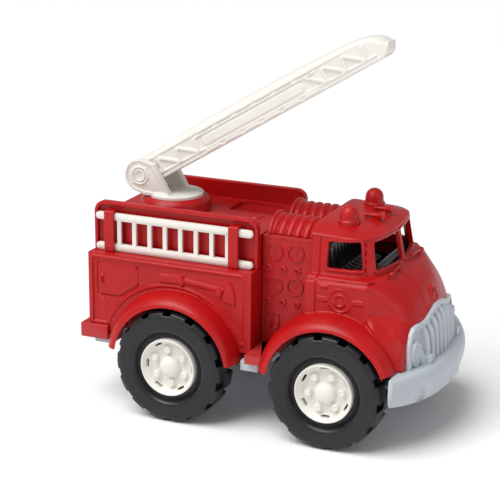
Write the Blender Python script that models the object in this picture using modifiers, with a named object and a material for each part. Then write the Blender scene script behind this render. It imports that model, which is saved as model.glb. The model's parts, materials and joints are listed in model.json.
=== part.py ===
"""Toy fire engine with a swivelling boom, rolling wheels and two slide-out side ladders.

All sizes are in millimetres; they are scaled to metres when a mesh is made.
Frame: +X forward, +Y to the left side, +Z up. The origin is on the ground, under the
middle of the model's box. Pieces that touch keep GAP between them.
"""
import math

import bmesh
import bpy
from mathutils import Matrix, Vector

MM = 0.001
GAP = 0.3
WALL = 2.4

# Wheels and axles
REAR_AXLE_X = -55.2
FRONT_AXLE_X = 62.3
AXLE_Z = 40.9
AXLE_RADIUS = 3.0
AXLE_HALF = 73.0
TYRE_IN_Y = 52.2
TYRE_OUT_Y = 78.2
RIM_RADIUS = 21.0
WHEEL_SEGMENTS = 28

# Rear body, deck and racks
BODY_REAR_X = -127.9
BODY_FRONT_X = 0.4
BODY_Y = 58.0
BODY_LOW_Z = 53.5
LEDGE_Z = 112.2
UPPER_Y = 42.0
DECK_Z = 136.0
DECK_THICK = 2.5
RACK_Y = 47.3
RACK_TOP_Z = 148.1
RACK_FIELD_Y = 44.2
STRAP_X = (-113.6, -16.1)
STRAP_WIDTH = 7.6
STRAP_IN_Y = 50.6
STRAP_OUT_Y = 52.6
STRAP_TOP_Z = 142.6

# Side ladders
LADDER_X = (-125.3, -2.4)
LADDER_Z = (112.6, 140.6)
LADDER_Y = (47.6, 50.3)
RAIL_HEIGHT = 5.4
RUNG_COUNT = 8
RUNG_WIDTH = 3.0
RUNG_FIRST_X = -106.7
RUNG_PITCH = 12.15

# Fenders: y from the centre line, outer radius, rearward shift of the arc's centre
ARCH_STATIONS = ((49.0, 51.6, -2.2), (62.0, 51.4, -2.2), (68.0, 50.2, -1.8),
                 (72.5, 47.8, -1.0), (75.2, 45.3, -0.3), (75.6, 44.4, 0.0))
ARCH_LIP = 43.6
ARCH_SHELL = 2.6
ARCH_LOW_Z = 47.3

# Pump housing and hose reels
PUMP_X = (0.9, 38.9)
PUMP_Y = 38.5
PUMP_TOP_Z = 135.6
SILL_FRONT_X = 13.6
SILL_Y = 70.0
SILL_Z = (50.6, 57.0)
REEL_Y = 18.6
REEL_Z = 128.8
REEL_RADIUS = 19.7
HOSE_TURNS = 5
HOSE_START_X = 7.6
HOSE_PITCH = 6.2

# Cab
CAB_REAR_X = 39.6
# Hood sections, half of the symmetric shape: x, then (y, z) of the fender valley, the ridge, the cheek crease,
# the side, the shoulder, the crown and the centre panel's edge, then the height of the middle
HOOD = ((84.0, 56.5, 89.0, 56.0, 93.5, 56.0, 95.0, 56.0, 105.0, 55.4, 113.0, 47.0, 117.2, 17.0, 117.6, 117.8),
        (90.0, 60.0, 86.0, 54.6, 90.5, 52.8, 93.2, 53.0, 103.5, 50.5, 111.6, 40.0, 116.0, 17.0, 116.6, 117.0),
        (95.0, 60.3, 82.5, 54.0, 87.5, 50.2, 93.0, 50.0, 101.0, 46.0, 108.8, 35.0, 113.3, 17.0, 114.6, 115.2),
        (100.0, 60.0, 78.0, 54.0, 83.5, 47.8, 92.2, 46.8, 98.0, 42.2, 104.8, 32.0, 109.8, 17.0, 112.3, 113.1),
        (105.0, 59.2, 73.0, 54.0, 80.4, 45.0, 90.6, 43.4, 95.0, 38.6, 100.6, 29.0, 105.4, 17.0, 108.9, 109.9),
        (109.0, 59.0, 66.5, 53.5, 76.0, 42.0, 88.2, 39.8, 91.8, 34.8, 96.4, 26.0, 101.0, 17.0, 104.8, 106.2),
        (112.0, 58.5, 58.0, 52.6, 71.5, 38.5, 85.4, 36.0, 88.0, 31.6, 91.2, 24.0, 95.0, 17.0, 98.4, 100.8),
        (114.5, 57.5, 56.0, 51.6, 66.0, 34.6, 83.0, 31.6, 84.8, 27.0, 87.2, 21.5, 90.0, 17.0, 92.0, 94.6),
        (116.5, 57.0, 55.0, 50.8, 62.0, 30.5, 81.0, 27.0, 82.4, 23.0, 84.4, 19.0, 86.6, 17.0, 87.6, 90.4))
# Greenhouse levels: half width, rear x, front x, bow of the front, height
GLASS = ((49.2, 40.2, 82.8, 8.0, 112.0), (49.0, 40.2, 82.6, 8.0, 120.0), (46.8, 40.0, 79.4, 7.1, 141.0),
         (46.8, 40.0, 79.4, 7.1, 142.0))
RAIL = (47.4, 38.9, 80.2, 6.4)
FRONT_CORNER = 14.0
REAR_CORNER = 3.5
# Roof dome: scale of the rail outline about the roof's centre, height and rearward rise per millimetre
ROOF = ((1.0, 142.6, 0.0), (0.995, 143.3, 0.01), (0.96, 144.0, 0.03), (0.9, 145.0, 0.04), (0.8, 146.4, 0.05),
        (0.62, 148.0, 0.05), (0.4, 148.8, 0.045), (0.03, 149.2, 0.045))
ROOF_CENTRE_X = 62.0
ROOF_REAR_SHARE = 0.15

# Screw posts and the pins that hold the shells to the chassis
REAR_POST_X = (-121.6, -5.4)
CAB_POST_X = (45.5,)
POST_Y = 30.0
POST_RADIUS = 4.2
PIN_RADIUS = 1.5
FLOOR_Z = (98.0, 100.5)

# Turntable and boom
TURN_X = -85.4
PIVOT_X = -107.0
PIVOT_Z = 161.1
EAR_RADIUS = 12.0
EAR_Y = (11.6, 17.0)
BOOM_HALF = 11.2
BOOM_LOW = -9.8
BOOM_REACH = 217.0
BOOM_ANGLE = math.radians(31.4)

# Bumpers and chassis
GRILLE_THICK = 2.8
# The grille's outline as (height, half width), and the seat cut for it in the hood
GRILLE_EDGE = ((58.0, 52.0), (66.0, 51.2), (74.0, 49.2), (80.6, 45.6), (84.4, 41.0), (85.8, 30.0), (86.6, 24.0),
               (88.0, 18.0), (90.2, 12.0), (91.6, 6.0), (92.0, 2.0))
GRILLE_SEAT = ((48.0, 53.0), (66.0, 53.0), (82.0, 53.0), (90.0, 53.0), (101.0, 53.0))
# Grille ribs: y and the height of the top
RIBS = ((0.0, 88.0), (7.6, 85.6), (-7.6, 85.6), (14.8, 83.6), (-14.8, 83.6), (21.8, 80.8), (-21.8, 80.8),
        (28.4, 77.8), (-28.4, 77.8))
RIB_LOW_Z = 65.0
RIB_REACH = 3.6
BUMPER_FRONT_X = 133.5
BUMPER_CURVE = 0.003865
BUMPER_Y = 76.0
BUMPER_Z = (32.0, 57.6)
CHASSIS_Z = (43.2, 50.3)

COLOURS = {
    "red": ((0.62, 0.012, 0.016, 1.0), 0.42),
    "white": ((0.86, 0.83, 0.76, 1.0), 0.4),
    "grey": ((0.5, 0.54, 0.58, 1.0), 0.42),
    "black": ((0.02, 0.02, 0.022, 1.0), 0.35),
    "charcoal": ((0.035, 0.036, 0.042, 1.0), 0.6),
}

for old in list(bpy.data.objects):
    bpy.data.objects.remove(old)
PARTS = bpy.data.collections.new("toy_fire_engine")
CUTTERS = bpy.data.collections.new("cutters")
bpy.context.scene.collection.children.link(PARTS)
bpy.context.scene.collection.children.link(CUTTERS)


def material(key):
    """The Principled material of one moulding colour."""
    found = bpy.data.materials.get(key)
    if found:
        return found
    colour, roughness = COLOURS[key]
    made = bpy.data.materials.new(key)
    made.use_nodes = True
    shader = made.node_tree.nodes["Principled BSDF"]
    shader.inputs["Base Color"].default_value = colour
    shader.inputs["Roughness"].default_value = roughness
    return made


def to_mesh(name, bm):
    """Scale a millimetre bmesh to metres and turn it into a closed mesh."""
    bmesh.ops.remove_doubles(bm, verts=bm.verts, dist=0.001)
    bmesh.ops.connect_verts_nonplanar(bm, angle_limit=0.001, faces=bm.faces)
    bmesh.ops.recalc_face_normals(bm, faces=bm.faces)
    bmesh.ops.scale(bm, vec=(MM, MM, MM), verts=bm.verts)
    mesh = bpy.data.meshes.new(name)
    bm.to_mesh(mesh)
    bm.free()
    mesh.set_sharp_from_angle(angle=math.radians(35))
    return mesh


def part(name, bm, colour):
    """A named sub-part from a bmesh."""
    made = bpy.data.objects.new(name, to_mesh(name, bm))
    made.data.materials.append(material(colour))
    PARTS.objects.link(made)
    return made


def combine(target, bm, operation="DIFFERENCE"):
    """Cut a shape out of a part, or join it on, with an exact Boolean."""
    label = f"{target.name}_{operation.lower()}"
    tool = bpy.data.objects.new(label, to_mesh(label, bm))
    tool.hide_render = True
    tool.display_type = "WIRE"
    CUTTERS.objects.link(tool)
    tool.parent = target
    modifier = target.modifiers.new(label, "BOOLEAN")
    modifier.operation = operation
    modifier.solver = "EXACT"
    modifier.object = tool


def box(low, high):
    """An upright box between two corners."""
    bm = bmesh.new()
    size = [b - a for a, b in zip(low, high)]
    centre = [(a + b) / 2 for a, b in zip(low, high)]
    bmesh.ops.create_cube(bm, size=1.0, matrix=Matrix.Translation(centre) @ Matrix.Diagonal((*size, 1.0)))
    return bm


def drum(centre, radius, length, axis="Z", segments=32, top_radius=None):
    """A cylinder or cone frustum centred on a point, along X, Y or Z."""
    turn = {"X": Matrix.Rotation(math.pi / 2, 4, "Y"),
            "Y": Matrix.Rotation(-math.pi / 2, 4, "X"),
            "Z": Matrix.Identity(4)}[axis]
    bm = bmesh.new()
    bmesh.ops.create_cone(bm, cap_ends=True, segments=segments, radius1=radius,
                          radius2=radius if top_radius is None else top_radius,
                          depth=length, matrix=Matrix.Translation(centre) @ turn)
    return bm


def loft(rings):
    """A closed body through rings of equal length; the end rings are flat."""
    bm = bmesh.new()
    rows = [[bm.verts.new(point) for point in ring] for ring in rings]
    for first, second in zip(rows, rows[1:]):
        for i in range(len(first)):
            j = (i + 1) % len(first)
            bm.faces.new((first[i], first[j], second[j], second[i]))
    bm.faces.new(rows[0])
    bm.faces.new(list(reversed(rows[-1])))
    return bm


def slab(points, low, high, axis="Z"):
    """A flat outline given two to a point, extruded along an axis from low to high."""
    place = {"X": lambda a, b, c: (c, a, b),
             "Y": lambda a, b, c: (a, c, b),
             "Z": lambda a, b, c: (a, b, c)}[axis]
    return loft([[place(a, b, level) for a, b in points] for level in (low, high)])


def arc(centre, radius, start, end, steps):
    """Points along a circle, angles in degrees."""
    angles = [math.radians(start + (end - start) * i / steps) for i in range(steps + 1)]
    return [(centre[0] + radius * math.cos(a), centre[1] + radius * math.sin(a)) for a in angles]


def rounded(low, high, radius, steps=4):
    """The outline of a rounded rectangle."""
    (x0, y0), (x1, y1) = low, high
    corners = ((x1 - radius, y1 - radius, 0), (x0 + radius, y1 - radius, 90),
               (x0 + radius, y0 + radius, 180), (x1 - radius, y0 + radius, 270))
    return [p for cx, cy, a in corners for p in arc((cx, cy), radius, a, a + 90, steps)]


def turned(name, profile, centre, axis, colour, segments=32, start=0.0):
    """A part turned from a closed (radius, distance) profile, listed down its outer side.

    The first corner of the turned outline lies at the angle start.
    """
    mesh = bpy.data.meshes.new(name)
    points = [(r * MM * math.cos(start), r * MM * math.sin(start), d * MM) for r, d in profile]
    closed = profile[0][0] > 0 and profile[-1][0] > 0
    edges = [(i, i + 1) for i in range(len(points) - 1)] + ([(len(points) - 1, 0)] if closed else [])
    mesh.from_pydata(points, edges, [])
    made = bpy.data.objects.new(name, mesh)
    made.data.materials.append(material(colour))
    PARTS.objects.link(made)
    made.location = Vector(centre) * MM
    made.rotation_euler = {"X": (0, math.pi / 2, 0), "Y": (-math.pi / 2, 0, 0),
                           "-Y": (math.pi / 2, 0, 0), "Z": (0, 0, 0)}[axis]
    screw = made.modifiers.new("turn", "SCREW")
    screw.steps = segments
    screw.render_steps = segments
    screw.use_merge_vertices = True
    screw.merge_threshold = 0.00001
    screw.use_smooth_shade = True
    return made


def moved(made, pivot):
    """Move an object's origin to a pivot without moving its shape."""
    offset = Vector(pivot) * MM
    made.data.transform(Matrix.Translation(-offset))
    made.location = offset
    for modifier in made.modifiers:
        if modifier.type == "BOOLEAN":
            modifier.object.data.transform(Matrix.Translation(-offset))
    return made


def sides():
    """The two sides of the model: name suffix and sign of y."""
    return (("right", -1), ("left", 1))


# ---------------------------------------------------------------- fenders

def arch_rings(axle_x, side, inset, from_y, to_y):
    """Rings of a flared wheel arch, from inside the body out to its lip."""
    rings = []
    for i, (y, radius, shift) in enumerate(ARCH_STATIONS):
        y = min(y, to_y) if i else from_y
        centre = (axle_x + shift, AXLE_Z)
        rings.append([(a, side * y, b) for a, b in arc(centre, radius - inset, 0, 348.75, 31)])
    return rings


def add_fenders(body, axle_x, inner_y):
    """Join two flared fenders to a body shell and open the wheel arches."""
    for _, side in sides():
        combine(body, loft(arch_rings(axle_x, side, 0, inner_y, 75.6)), "UNION")
    for _, side in sides():
        hollow = arch_rings(axle_x, side, ARCH_SHELL, inner_y - 3, 73.0)
        combine(body, loft(hollow[:5]))
        combine(body, drum((axle_x, side * 75, AXLE_Z), ARCH_LIP, 14, "Y", 32))
    combine(body, box((axle_x - 70, -90, -30), (axle_x + 70, 90, ARCH_LOW_Z)))


# ---------------------------------------------------------------- rear body

def make_rear_body():
    """The stepped rear shell with its fenders and screw posts."""
    body = part("rear_body", box((BODY_REAR_X, -BODY_Y, BODY_LOW_Z), (BODY_FRONT_X, BODY_Y, LEDGE_Z)), "red")
    seat_z = DECK_Z - DECK_THICK - GAP
    upper = box((BODY_REAR_X + 0.5, -UPPER_Y, LEDGE_Z - 8), (BODY_FRONT_X - 0.5, UPPER_Y, seat_z))
    combine(body, upper, "UNION")
    low, high = (BODY_REAR_X + WALL, WALL - BODY_Y, 0), (BODY_FRONT_X - WALL, BODY_Y - WALL, LEDGE_Z - WALL)
    combine(body, box(low, high))
    inner_y = UPPER_Y - WALL
    combine(body, box((BODY_REAR_X + 3, -inner_y, LEDGE_Z - 12), (BODY_FRONT_X - 3, inner_y, 150)))
    add_fenders(body, REAR_AXLE_X, ARCH_STATIONS[0][0])
    combine(body, box((BODY_REAR_X - 9, -70, 0), (-111.2, 70, 58.8)))
    add_posts(body, REAR_POST_X, LEDGE_Z - 8)


def add_posts(body, places, top):
    """Join screw posts to a shell's end walls and bore them for the chassis pins."""
    low = CHASSIS_Z[1] + GAP
    for x in places:
        for _, side in sides():
            centre = (x, side * POST_Y, (low + top) / 2)
            combine(body, drum(centre, POST_RADIUS, top - low, segments=12), "UNION")
            combine(body, drum((x, side * POST_Y, low), PIN_RADIUS + GAP, 24, segments=8))


def make_deck():
    """The deck plate with two hose trays, a round cap and the turntable's bearing hole."""
    low = DECK_Z - DECK_THICK
    deck = part("deck", box((BODY_REAR_X + 0.5, -UPPER_Y, low), (BODY_FRONT_X - 0.5, UPPER_Y, DECK_Z)), "red")
    for _, side in sides():
        near, far = sorted((side * 9.6, side * 39.4))
        combine(deck, box((-50.0, near, 121.6), (-10.5, far, low + 1)), "UNION")
    for _, side in sides():
        near, far = sorted((side * 11.2, side * 38.0))
        combine(deck, box((-48.6, near, 123.4), (-11.9, far, 150)))
    combine(deck, drum((-21.0, 0, DECK_Z), 5.4, 2.4, segments=24), "UNION")
    combine(deck, drum((TURN_X, 0, DECK_Z), 9.2, 30, segments=24))


def make_racks():
    """Side rack panels: a rimmed plate and two straps that hold the ladder."""
    for name, side in sides():
        low_y, high_y = sorted((side * (UPPER_Y + GAP), side * RACK_Y))
        frame = rounded((BODY_REAR_X, LEDGE_Z + GAP), (BODY_FRONT_X, RACK_TOP_Z), 8.0)
        frame = [(x, z if z > 125 else LEDGE_Z + GAP) for x, z in frame if z > 125]
        frame += [(BODY_REAR_X, LEDGE_Z + GAP), (BODY_FRONT_X, LEDGE_Z + GAP)]
        rack = part(f"rack_{name}", slab(frame, low_y, high_y, "Y"), "red")
        field = [(BODY_FRONT_X - 2.3, 100), *arc((BODY_FRONT_X - 8, RACK_TOP_Z - 8), 5.7, 0, 90, 4),
                 *arc((BODY_REAR_X + 8, RACK_TOP_Z - 8), 5.7, 90, 180, 4), (BODY_REAR_X + 2.3, 100)]
        near, far = sorted((side * RACK_FIELD_Y, side * (RACK_Y + 2)))
        combine(rack, slab(field, near, far, "Y"))
        for x in STRAP_X:
            half = STRAP_WIDTH / 2
            near, far = sorted((side * (RACK_FIELD_Y - 1), side * STRAP_OUT_Y))
            combine(rack, box((x - half, near, STRAP_TOP_Z - 1.9), (x + half, far, STRAP_TOP_Z)), "UNION")
            near, far = sorted((side * STRAP_IN_Y, side * STRAP_OUT_Y))
            combine(rack, box((x - half, near, LEDGE_Z + GAP), (x + half, far, STRAP_TOP_Z - 1)), "UNION")


def make_ladders():
    """Two flat ladders that stand on the ledge behind the straps."""
    for name, side in sides():
        low_y, high_y = sorted((side * LADDER_Y[0], side * LADDER_Y[1]))
        radius = RAIL_HEIGHT / 2
        lower = rounded((LADDER_X[0], LADDER_Z[0]), (LADDER_X[1], LADDER_Z[0] + RAIL_HEIGHT), radius - 0.01)
        upper = [(x, z + LADDER_Z[1] - LADDER_Z[0] - RAIL_HEIGHT) for x, z in lower]
        ladder = part(f"ladder_{name}", slab(lower, low_y, high_y, "Y"), "white")
        combine(ladder, slab(upper, low_y, high_y, "Y"), "UNION")
        for i in range(RUNG_COUNT):
            x = RUNG_FIRST_X + i * RUNG_PITCH
            combine(ladder, box((x - RUNG_WIDTH / 2, low_y + 0.2, LADDER_Z[0] + 3),
                                (x + RUNG_WIDTH / 2, high_y - 0.2, LADDER_Z[1] - 3)), "UNION")


def make_rear_step():
    """The tailboard that wraps round the back of the rear body."""
    step = part("rear_step", box((-133.5, -61.0, 47.8), (-111.5, 61.0, 58.4)), "red")
    combine(step, box((-129.5, -57.0, 30.0), (-100.0, 57.0, 55.8)))
    for _, side in sides():
        combine(step, drum((REAR_POST_X[0], side * POST_Y, 57.0), POST_RADIUS + GAP, 8, segments=12))


# ---------------------------------------------------------------- pump housing and reels

def make_pump_housing():
    """The box between rear body and cab, with the running-board sills."""
    low, high = PUMP_X
    pump = part("pump_housing", box((low, -PUMP_Y, SILL_Z[0]), (high, PUMP_Y, PUMP_TOP_Z)), "red")
    combine(pump, box((low, -SILL_Y, SILL_Z[0]), (SILL_FRONT_X, SILL_Y, SILL_Z[1])), "UNION")
    combine(pump, box((low + WALL, WALL - PUMP_Y, 0), (high - WALL, PUMP_Y - WALL, PUMP_TOP_Z - WALL)))
    combine(pump, box((low + WALL, WALL - SILL_Y, 0), (SILL_FRONT_X - 5, SILL_Y - WALL, SILL_Z[1] - WALL)))
    for _, side in sides():
        combine(pump, loft(arch_rings(FRONT_AXLE_X, side, -GAP, PUMP_Y + GAP, 75.6)))


def make_reels():
    """Hose reels half sunk in the pump housing: an end flange and a wound hose."""
    for name, side in sides():
        profile = [(0, 0), (REEL_RADIUS, 0), (REEL_RADIUS, 3.0), (15.0, 3.0)]
        for i in range(HOSE_TURNS):
            start = HOSE_START_X - 2.5 + i * HOSE_PITCH
            profile += [(15.6, start), (18.0, start + 1.6), (18.0, start + HOSE_PITCH - 1.6)]
        end = HOSE_START_X - 2.5 + HOSE_TURNS * HOSE_PITCH
        profile += [(15.6, end), (0, end)]
        centre = (2.5, side * REEL_Y, REEL_Z)
        reel = turned(f"hose_reel_{name}", list(reversed(profile)), centre, "X", "red", 28)
        floor = (PUMP_TOP_Z + GAP - REEL_Z)
        combine(reel, box((-floor, -40, -10), (60, 40, 50)))


# ---------------------------------------------------------------- cab

def smooth_curve(points, steps):
    """A rounded curve through points of any size, with the given steps in each span."""
    result = []
    last = len(points) - 1
    for i in range(last):
        four = (points[max(i - 1, 0)], points[i], points[i + 1], points[min(i + 2, last)])
        for k in range(steps):
            t = k / steps
            result.append(tuple(
                q + 0.5 * t * (r - p + t * (2 * p - 5 * q + 4 * r - s + t * (3 * q - p - 3 * r + s)))
                for p, q, r, s in zip(*four)))
    result.append(tuple(points[-1]))
    return result


def drawn_in(points, inset):
    """Half an outline, listed upwards and towards the middle, moved inwards by inset."""
    result = []
    for i, (y, z) in enumerate(points):
        before = points[max(i - 1, 0)]
        after = points[min(i + 1, len(points) - 1)]
        dy, dz = after[0] - before[0], after[1] - before[1]
        length = math.hypot(dy, dz)
        result.append((max(y - inset * dz / length, 0.0), z + inset * dy / length))
    return result


def hood_ring(row, low, inset):
    """One section: fender valley, ridge and cheek crease, then a rounded side up to the centre panel."""
    x, *flat, top = row
    corners = list(zip(flat[0::2], flat[1::2]))
    half = [(corners[0][0], low), *corners[:2], *smooth_curve(corners[2:], 2)]
    half = drawn_in(half, inset) + [(0.0, top - inset)]
    half += [(-y, z) for y, z in reversed(half[:-1])]
    return [(x, y, z) for y, z in half]


def hood_body(inset):
    """The lower body and hood as one closed loft."""
    low = 20.0 if inset else 52.0
    rings = []
    rows = [(CAB_REAR_X, *HOOD[0][1:])] + smooth_curve(HOOD, 2)
    for row in rows:
        x = max(row[0], CAB_REAR_X + inset) if row[0] < 60 else row[0] - inset
        rings.append(hood_ring((x, *row[1:]), low, inset))
    middle = (low + HOOD[-1][-1]) / 2
    for scale in (0.6, 0.02):
        rings.append([(x, y * scale, middle + (z - middle) * scale) for x, y, z in rings[len(rows) - 1]])
    return loft(rings)


def glass_ring(half, rear, front, bulge, inset):
    """One level of the greenhouse: wide front corners, tight rear corners and a bowed front edge."""
    half, rear, front = half - inset, rear + inset, front - inset
    wide, tight = FRONT_CORNER - inset, REAR_CORNER - inset
    outline = [(front, (half - wide) * share) for share in (0.0, 0.35, 0.7)]
    outline += arc((front - wide, half - wide), wide, 0, 90, 5)
    outline += arc((rear + tight, half - tight), tight, 90, 180, 2)
    outline += [(x, -y) for x, y in reversed(outline[1:])]
    bowed = []
    for x, y in outline:
        reach = (x - rear) / (front - rear)
        bowed.append((x + bulge * (1 - (y / half) ** 2) * reach ** 3, y))
    return bowed


def glass_body(inset):
    """The greenhouse and domed roof as one closed loft."""
    rings = []
    for half, rear, front, bulge, height in GLASS:
        if inset:
            height = 90.0 if height < 115 else height - (inset if height > 130 else 0)
        rings.append([(x, y, height) for x, y in glass_ring(half, rear, front, bulge, inset)])
    rail = glass_ring(*RAIL, inset)
    for scale, height, rise in ROOF:
        back = scale if scale < 0.1 else 1 - (1 - scale) * ROOF_REAR_SHARE
        ring = []
        for x, y in rail:
            ahead = x - ROOF_CENTRE_X
            x = ROOF_CENTRE_X + ahead * (scale if ahead > 0 else back)
            ring.append((x, y * scale, height - inset + rise * (ROOF_CENTRE_X - x)))
        rings.append(ring)
    return loft(rings)


def make_cab():
    """The cab shell: hood, greenhouse, front fenders and window openings."""
    cab = part("cab_shell", hood_body(0.0), "red")
    combine(cab, glass_body(0.0), "UNION")
    for _, side in sides():
        combine(cab, drum((59.4, side * 25.9, 155.2), 8.2, 16, segments=24))
        combine(cab, box((70.6, side * 9.8 - 1.9, 147.5), (75.4, side * 9.8 + 1.9, 160)))
    combine(cab, grille_plate(GRILLE_SEAT, 20.0, -GRILLE_THICK - GAP))
    combine(cab, hood_body(WALL))
    combine(cab, glass_body(WALL))
    window = [(52.2, 121.0), (77.4, 121.8), (75.0, 140.2), (52.8, 138.8)]
    combine(cab, slab(window, -70, 70, "Y"))
    for _, side in sides():
        pane = [(side * 2.2, 119.6), (side * 39.6, 120.4), (side * 37.2, 140.4), (side * 2.0, 139.8)]
        combine(cab, slab(pane, 70, 105, "X"))
    add_fenders(cab, FRONT_AXLE_X, PUMP_Y + 0.6)
    combine(cab, box((103.0, -90, 0), (140, 90, 58.2)))
    add_posts(cab, CAB_POST_X, FLOOR_Z[0] - GAP)


def make_roof_fittings():
    """Two domed beacons and two air horns on the roof."""
    for name, side in sides():
        dome = [(0, 13.2), (2.6, 12.8), (4.7, 11.4), (6.0, 9.2), (6.5, 6.6), (6.7, 3.4),
                (7.8, 2.6), (7.8, 0), (0, 0)]
        turned(f"beacon_{name}", dome, (59.4, side * 25.9, 147.5), "Z", "red", 18)
        bell = [(0, 13.0), (2.6, 13.0), (3.3, 12.6), (2.3, 11.0), (1.5, 8.0), (1.1, 1.0), (0, 0.4)]
        horn = turned(f"horn_{name}", bell, (65.5, side * 9.8, 150.8), "X", "red", 12)
        combine(horn, box((-0.2, -1.5, 5.5), (3.0, 1.5, 9.5)), "UNION")


def make_interior():
    """The black bench seat with its floor pan, and the dashboard."""
    seat = part("bench_seat", box((42.4, -52.6, FLOOR_Z[0]), (79.0, 52.6, FLOOR_Z[1])), "black")
    combine(seat, box((72.0, -45.0, FLOOR_Z[0]), (86.0, 45.0, FLOOR_Z[1])), "UNION")
    back = [(45.0, 99.0), (62.0, 99.0), (62.0, 108.0), (50.5, 110.0), (48.0, 134.0), (45.0, 134.0)]
    combine(seat, slab(back, -38.0, 38.0, "Y"), "UNION")
    low = FLOOR_Z[1] + GAP
    dash = [(83.8, low), (83.8, 114.0), (80.0, 118.6), (75.5, 117.6), (75.5, low)]
    part("dashboard", slab(dash, -36.0, 36.0, "Y"), "black")


# ---------------------------------------------------------------- grille and bumper

def grille_front(y, z):
    """X of the grille's front face: bowed, and leaning back towards its top."""
    share = max(z - 58.0, 0) / 28.0
    return 121.4 - 2.2 * share - (0.0022 + 0.0008 * share) * y * y


def grille_plate(edge, front, back):
    """A bowed plate through rows of (height, half width), between two distances from the grille's face."""
    rings = []
    columns = 8
    for z, half in edge:
        ys = [half * (2 * j / columns - 1) for j in range(columns + 1)]
        ahead = [(grille_front(y, z) + front, y, z) for y in ys]
        behind = [(grille_front(y, z) + back, y, z) for y in reversed(ys)]
        rings.append(ahead + behind)
    return loft(rings)


def make_grille():
    """The curved grille plate with two headlights, two box lamps and its upright ribs."""
    grille = part("grille", grille_plate(GRILLE_EDGE, 0.0, -GRILLE_THICK), "grey")
    for _, side in sides():
        combine(grille, drum((116.66, side * 40.8, 66.2), 6.4, 3.08, "X", 16), "UNION")
        combine(grille, box((116.4, side * 30.6 - 3.0, 58.6), (123.6, side * 30.6 + 3.0, 63.4)), "UNION")
    for y, top in RIBS:
        crest = grille_front(y, RIB_LOW_Z) + RIB_REACH
        profile = [(grille_front(y, top) - 1.4, top), (grille_front(y, top) + 2.2, top - 3.5),
                   (crest, RIB_LOW_Z + 2.0), (crest, RIB_LOW_Z), (grille_front(y, RIB_LOW_Z) - 1.4, RIB_LOW_Z)]
        combine(grille, slab(profile, y - 1.7, y + 1.7, "Y"), "UNION")


def bumper_front(y):
    """X of the bumper's front face at its widest level."""
    return BUMPER_FRONT_X - BUMPER_CURVE * y * y


def make_bumper():
    """The deep curved bumper: narrower along its top and bottom edges than at its middle."""
    rings = []
    steps = 12
    levels = ((BUMPER_Z[0], 6.5), (BUMPER_Z[0] + 2, 4.6), (42.0, 1.6), (50.0, 0.0), (54.5, 0.6), (57.0, 2.6),
              (BUMPER_Z[1], 4.2))
    for z, back in levels:
        half = BUMPER_Y - 0.4 * back
        ys = [-half + 2 * half * i / steps for i in range(steps + 1)]
        front = [(bumper_front(y) - back, y, z + (4.6 if z < 40 else 0) * (abs(y) / half) ** 3) for y in ys]
        rear = [(min(x - 1.5, bumper_front(y) - 15.5), y, zz) for x, y, zz in front]
        rings.append(front + list(reversed(rear)))
    bumper = part("front_bumper", loft(rings), "grey")
    combine(bumper, box((90, -80, 20), (107.6, 80, 70)))
    plate = bumper_front(0) - 2.4
    combine(bumper, box((plate - 6, -9.0, 38.4), (plate + 0.3, 9.0, 50.7)), "UNION")


# ---------------------------------------------------------------- chassis and running gear

def make_chassis():
    """The chassis plate with its axle saddles, narrow between the wheels."""
    low, high = CHASSIS_Z
    chassis = part("chassis", box((-125.0, -38.6, low), (111.6, 38.6, high)), "grey")
    for x0, x1, half in ((-125.0, -110.6, 55.0), (-4.6, 8.4, 64.0)):
        combine(chassis, box((x0, -half, low), (x1, half, high)), "UNION")
    for axle_x in (REAR_AXLE_X, FRONT_AXLE_X):
        for _, side in sides():
            near, far = sorted((side * 34.0, side * 46.5))
            combine(chassis, box((axle_x - 9, near, 37.2), (axle_x + 9, far, high - 1)), "UNION")
        combine(chassis, box((axle_x - AXLE_RADIUS - 0.3, -50, 0), (axle_x + AXLE_RADIUS + 0.3, 50, AXLE_Z)))
        combine(chassis, drum((axle_x, 0, AXLE_Z), AXLE_RADIUS + 0.32, 100, "Y", 16))
    for x, y in pin_places():
        combine(chassis, drum((x, y, 46), PIN_RADIUS + GAP, 20, segments=8))


def pin_places():
    """Where the pins hold the bodies to the chassis."""
    return [(x, side * POST_Y) for x in REAR_POST_X + CAB_POST_X for _, side in sides()]


def make_running_gear():
    """Axles, keepers, wheels and chassis pins."""
    for name, axle_x in (("rear", REAR_AXLE_X), ("front", FRONT_AXLE_X)):
        moved(part(f"{name}_axle", drum((axle_x, 0, AXLE_Z), AXLE_RADIUS, 2 * AXLE_HALF, "Y", 16), "grey"),
              (axle_x, 0, AXLE_Z))
        keeper = part(f"{name}_axle_keeper", box((axle_x - 11, -46, 34.2), (axle_x + 11, 46, 36.9)), "grey")
        combine(keeper, box((axle_x - 3, -30, 30), (axle_x + 3, 30, 40)))
        for side_name, side in sides():
            axis = "Y" if side > 0 else "-Y"
            centre = (axle_x, 0, AXLE_Z)
            turned(f"{name}_tyre_{side_name}", tyre_profile(), centre, axis, "charcoal", WHEEL_SEGMENTS,
                   math.pi / WHEEL_SEGMENTS)
            turned(f"{name}_hub_{side_name}", hub_profile(), centre, axis, "white", 20)
    for i, (x, y) in enumerate(pin_places(), start=1):
        pin = part(f"chassis_pin_{i}", drum((x, y, 49.0), PIN_RADIUS, 18.0, segments=8), "grey")
        combine(pin, drum((x, y, 41.8), 3.6, 2.2, segments=12), "UNION")


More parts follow.
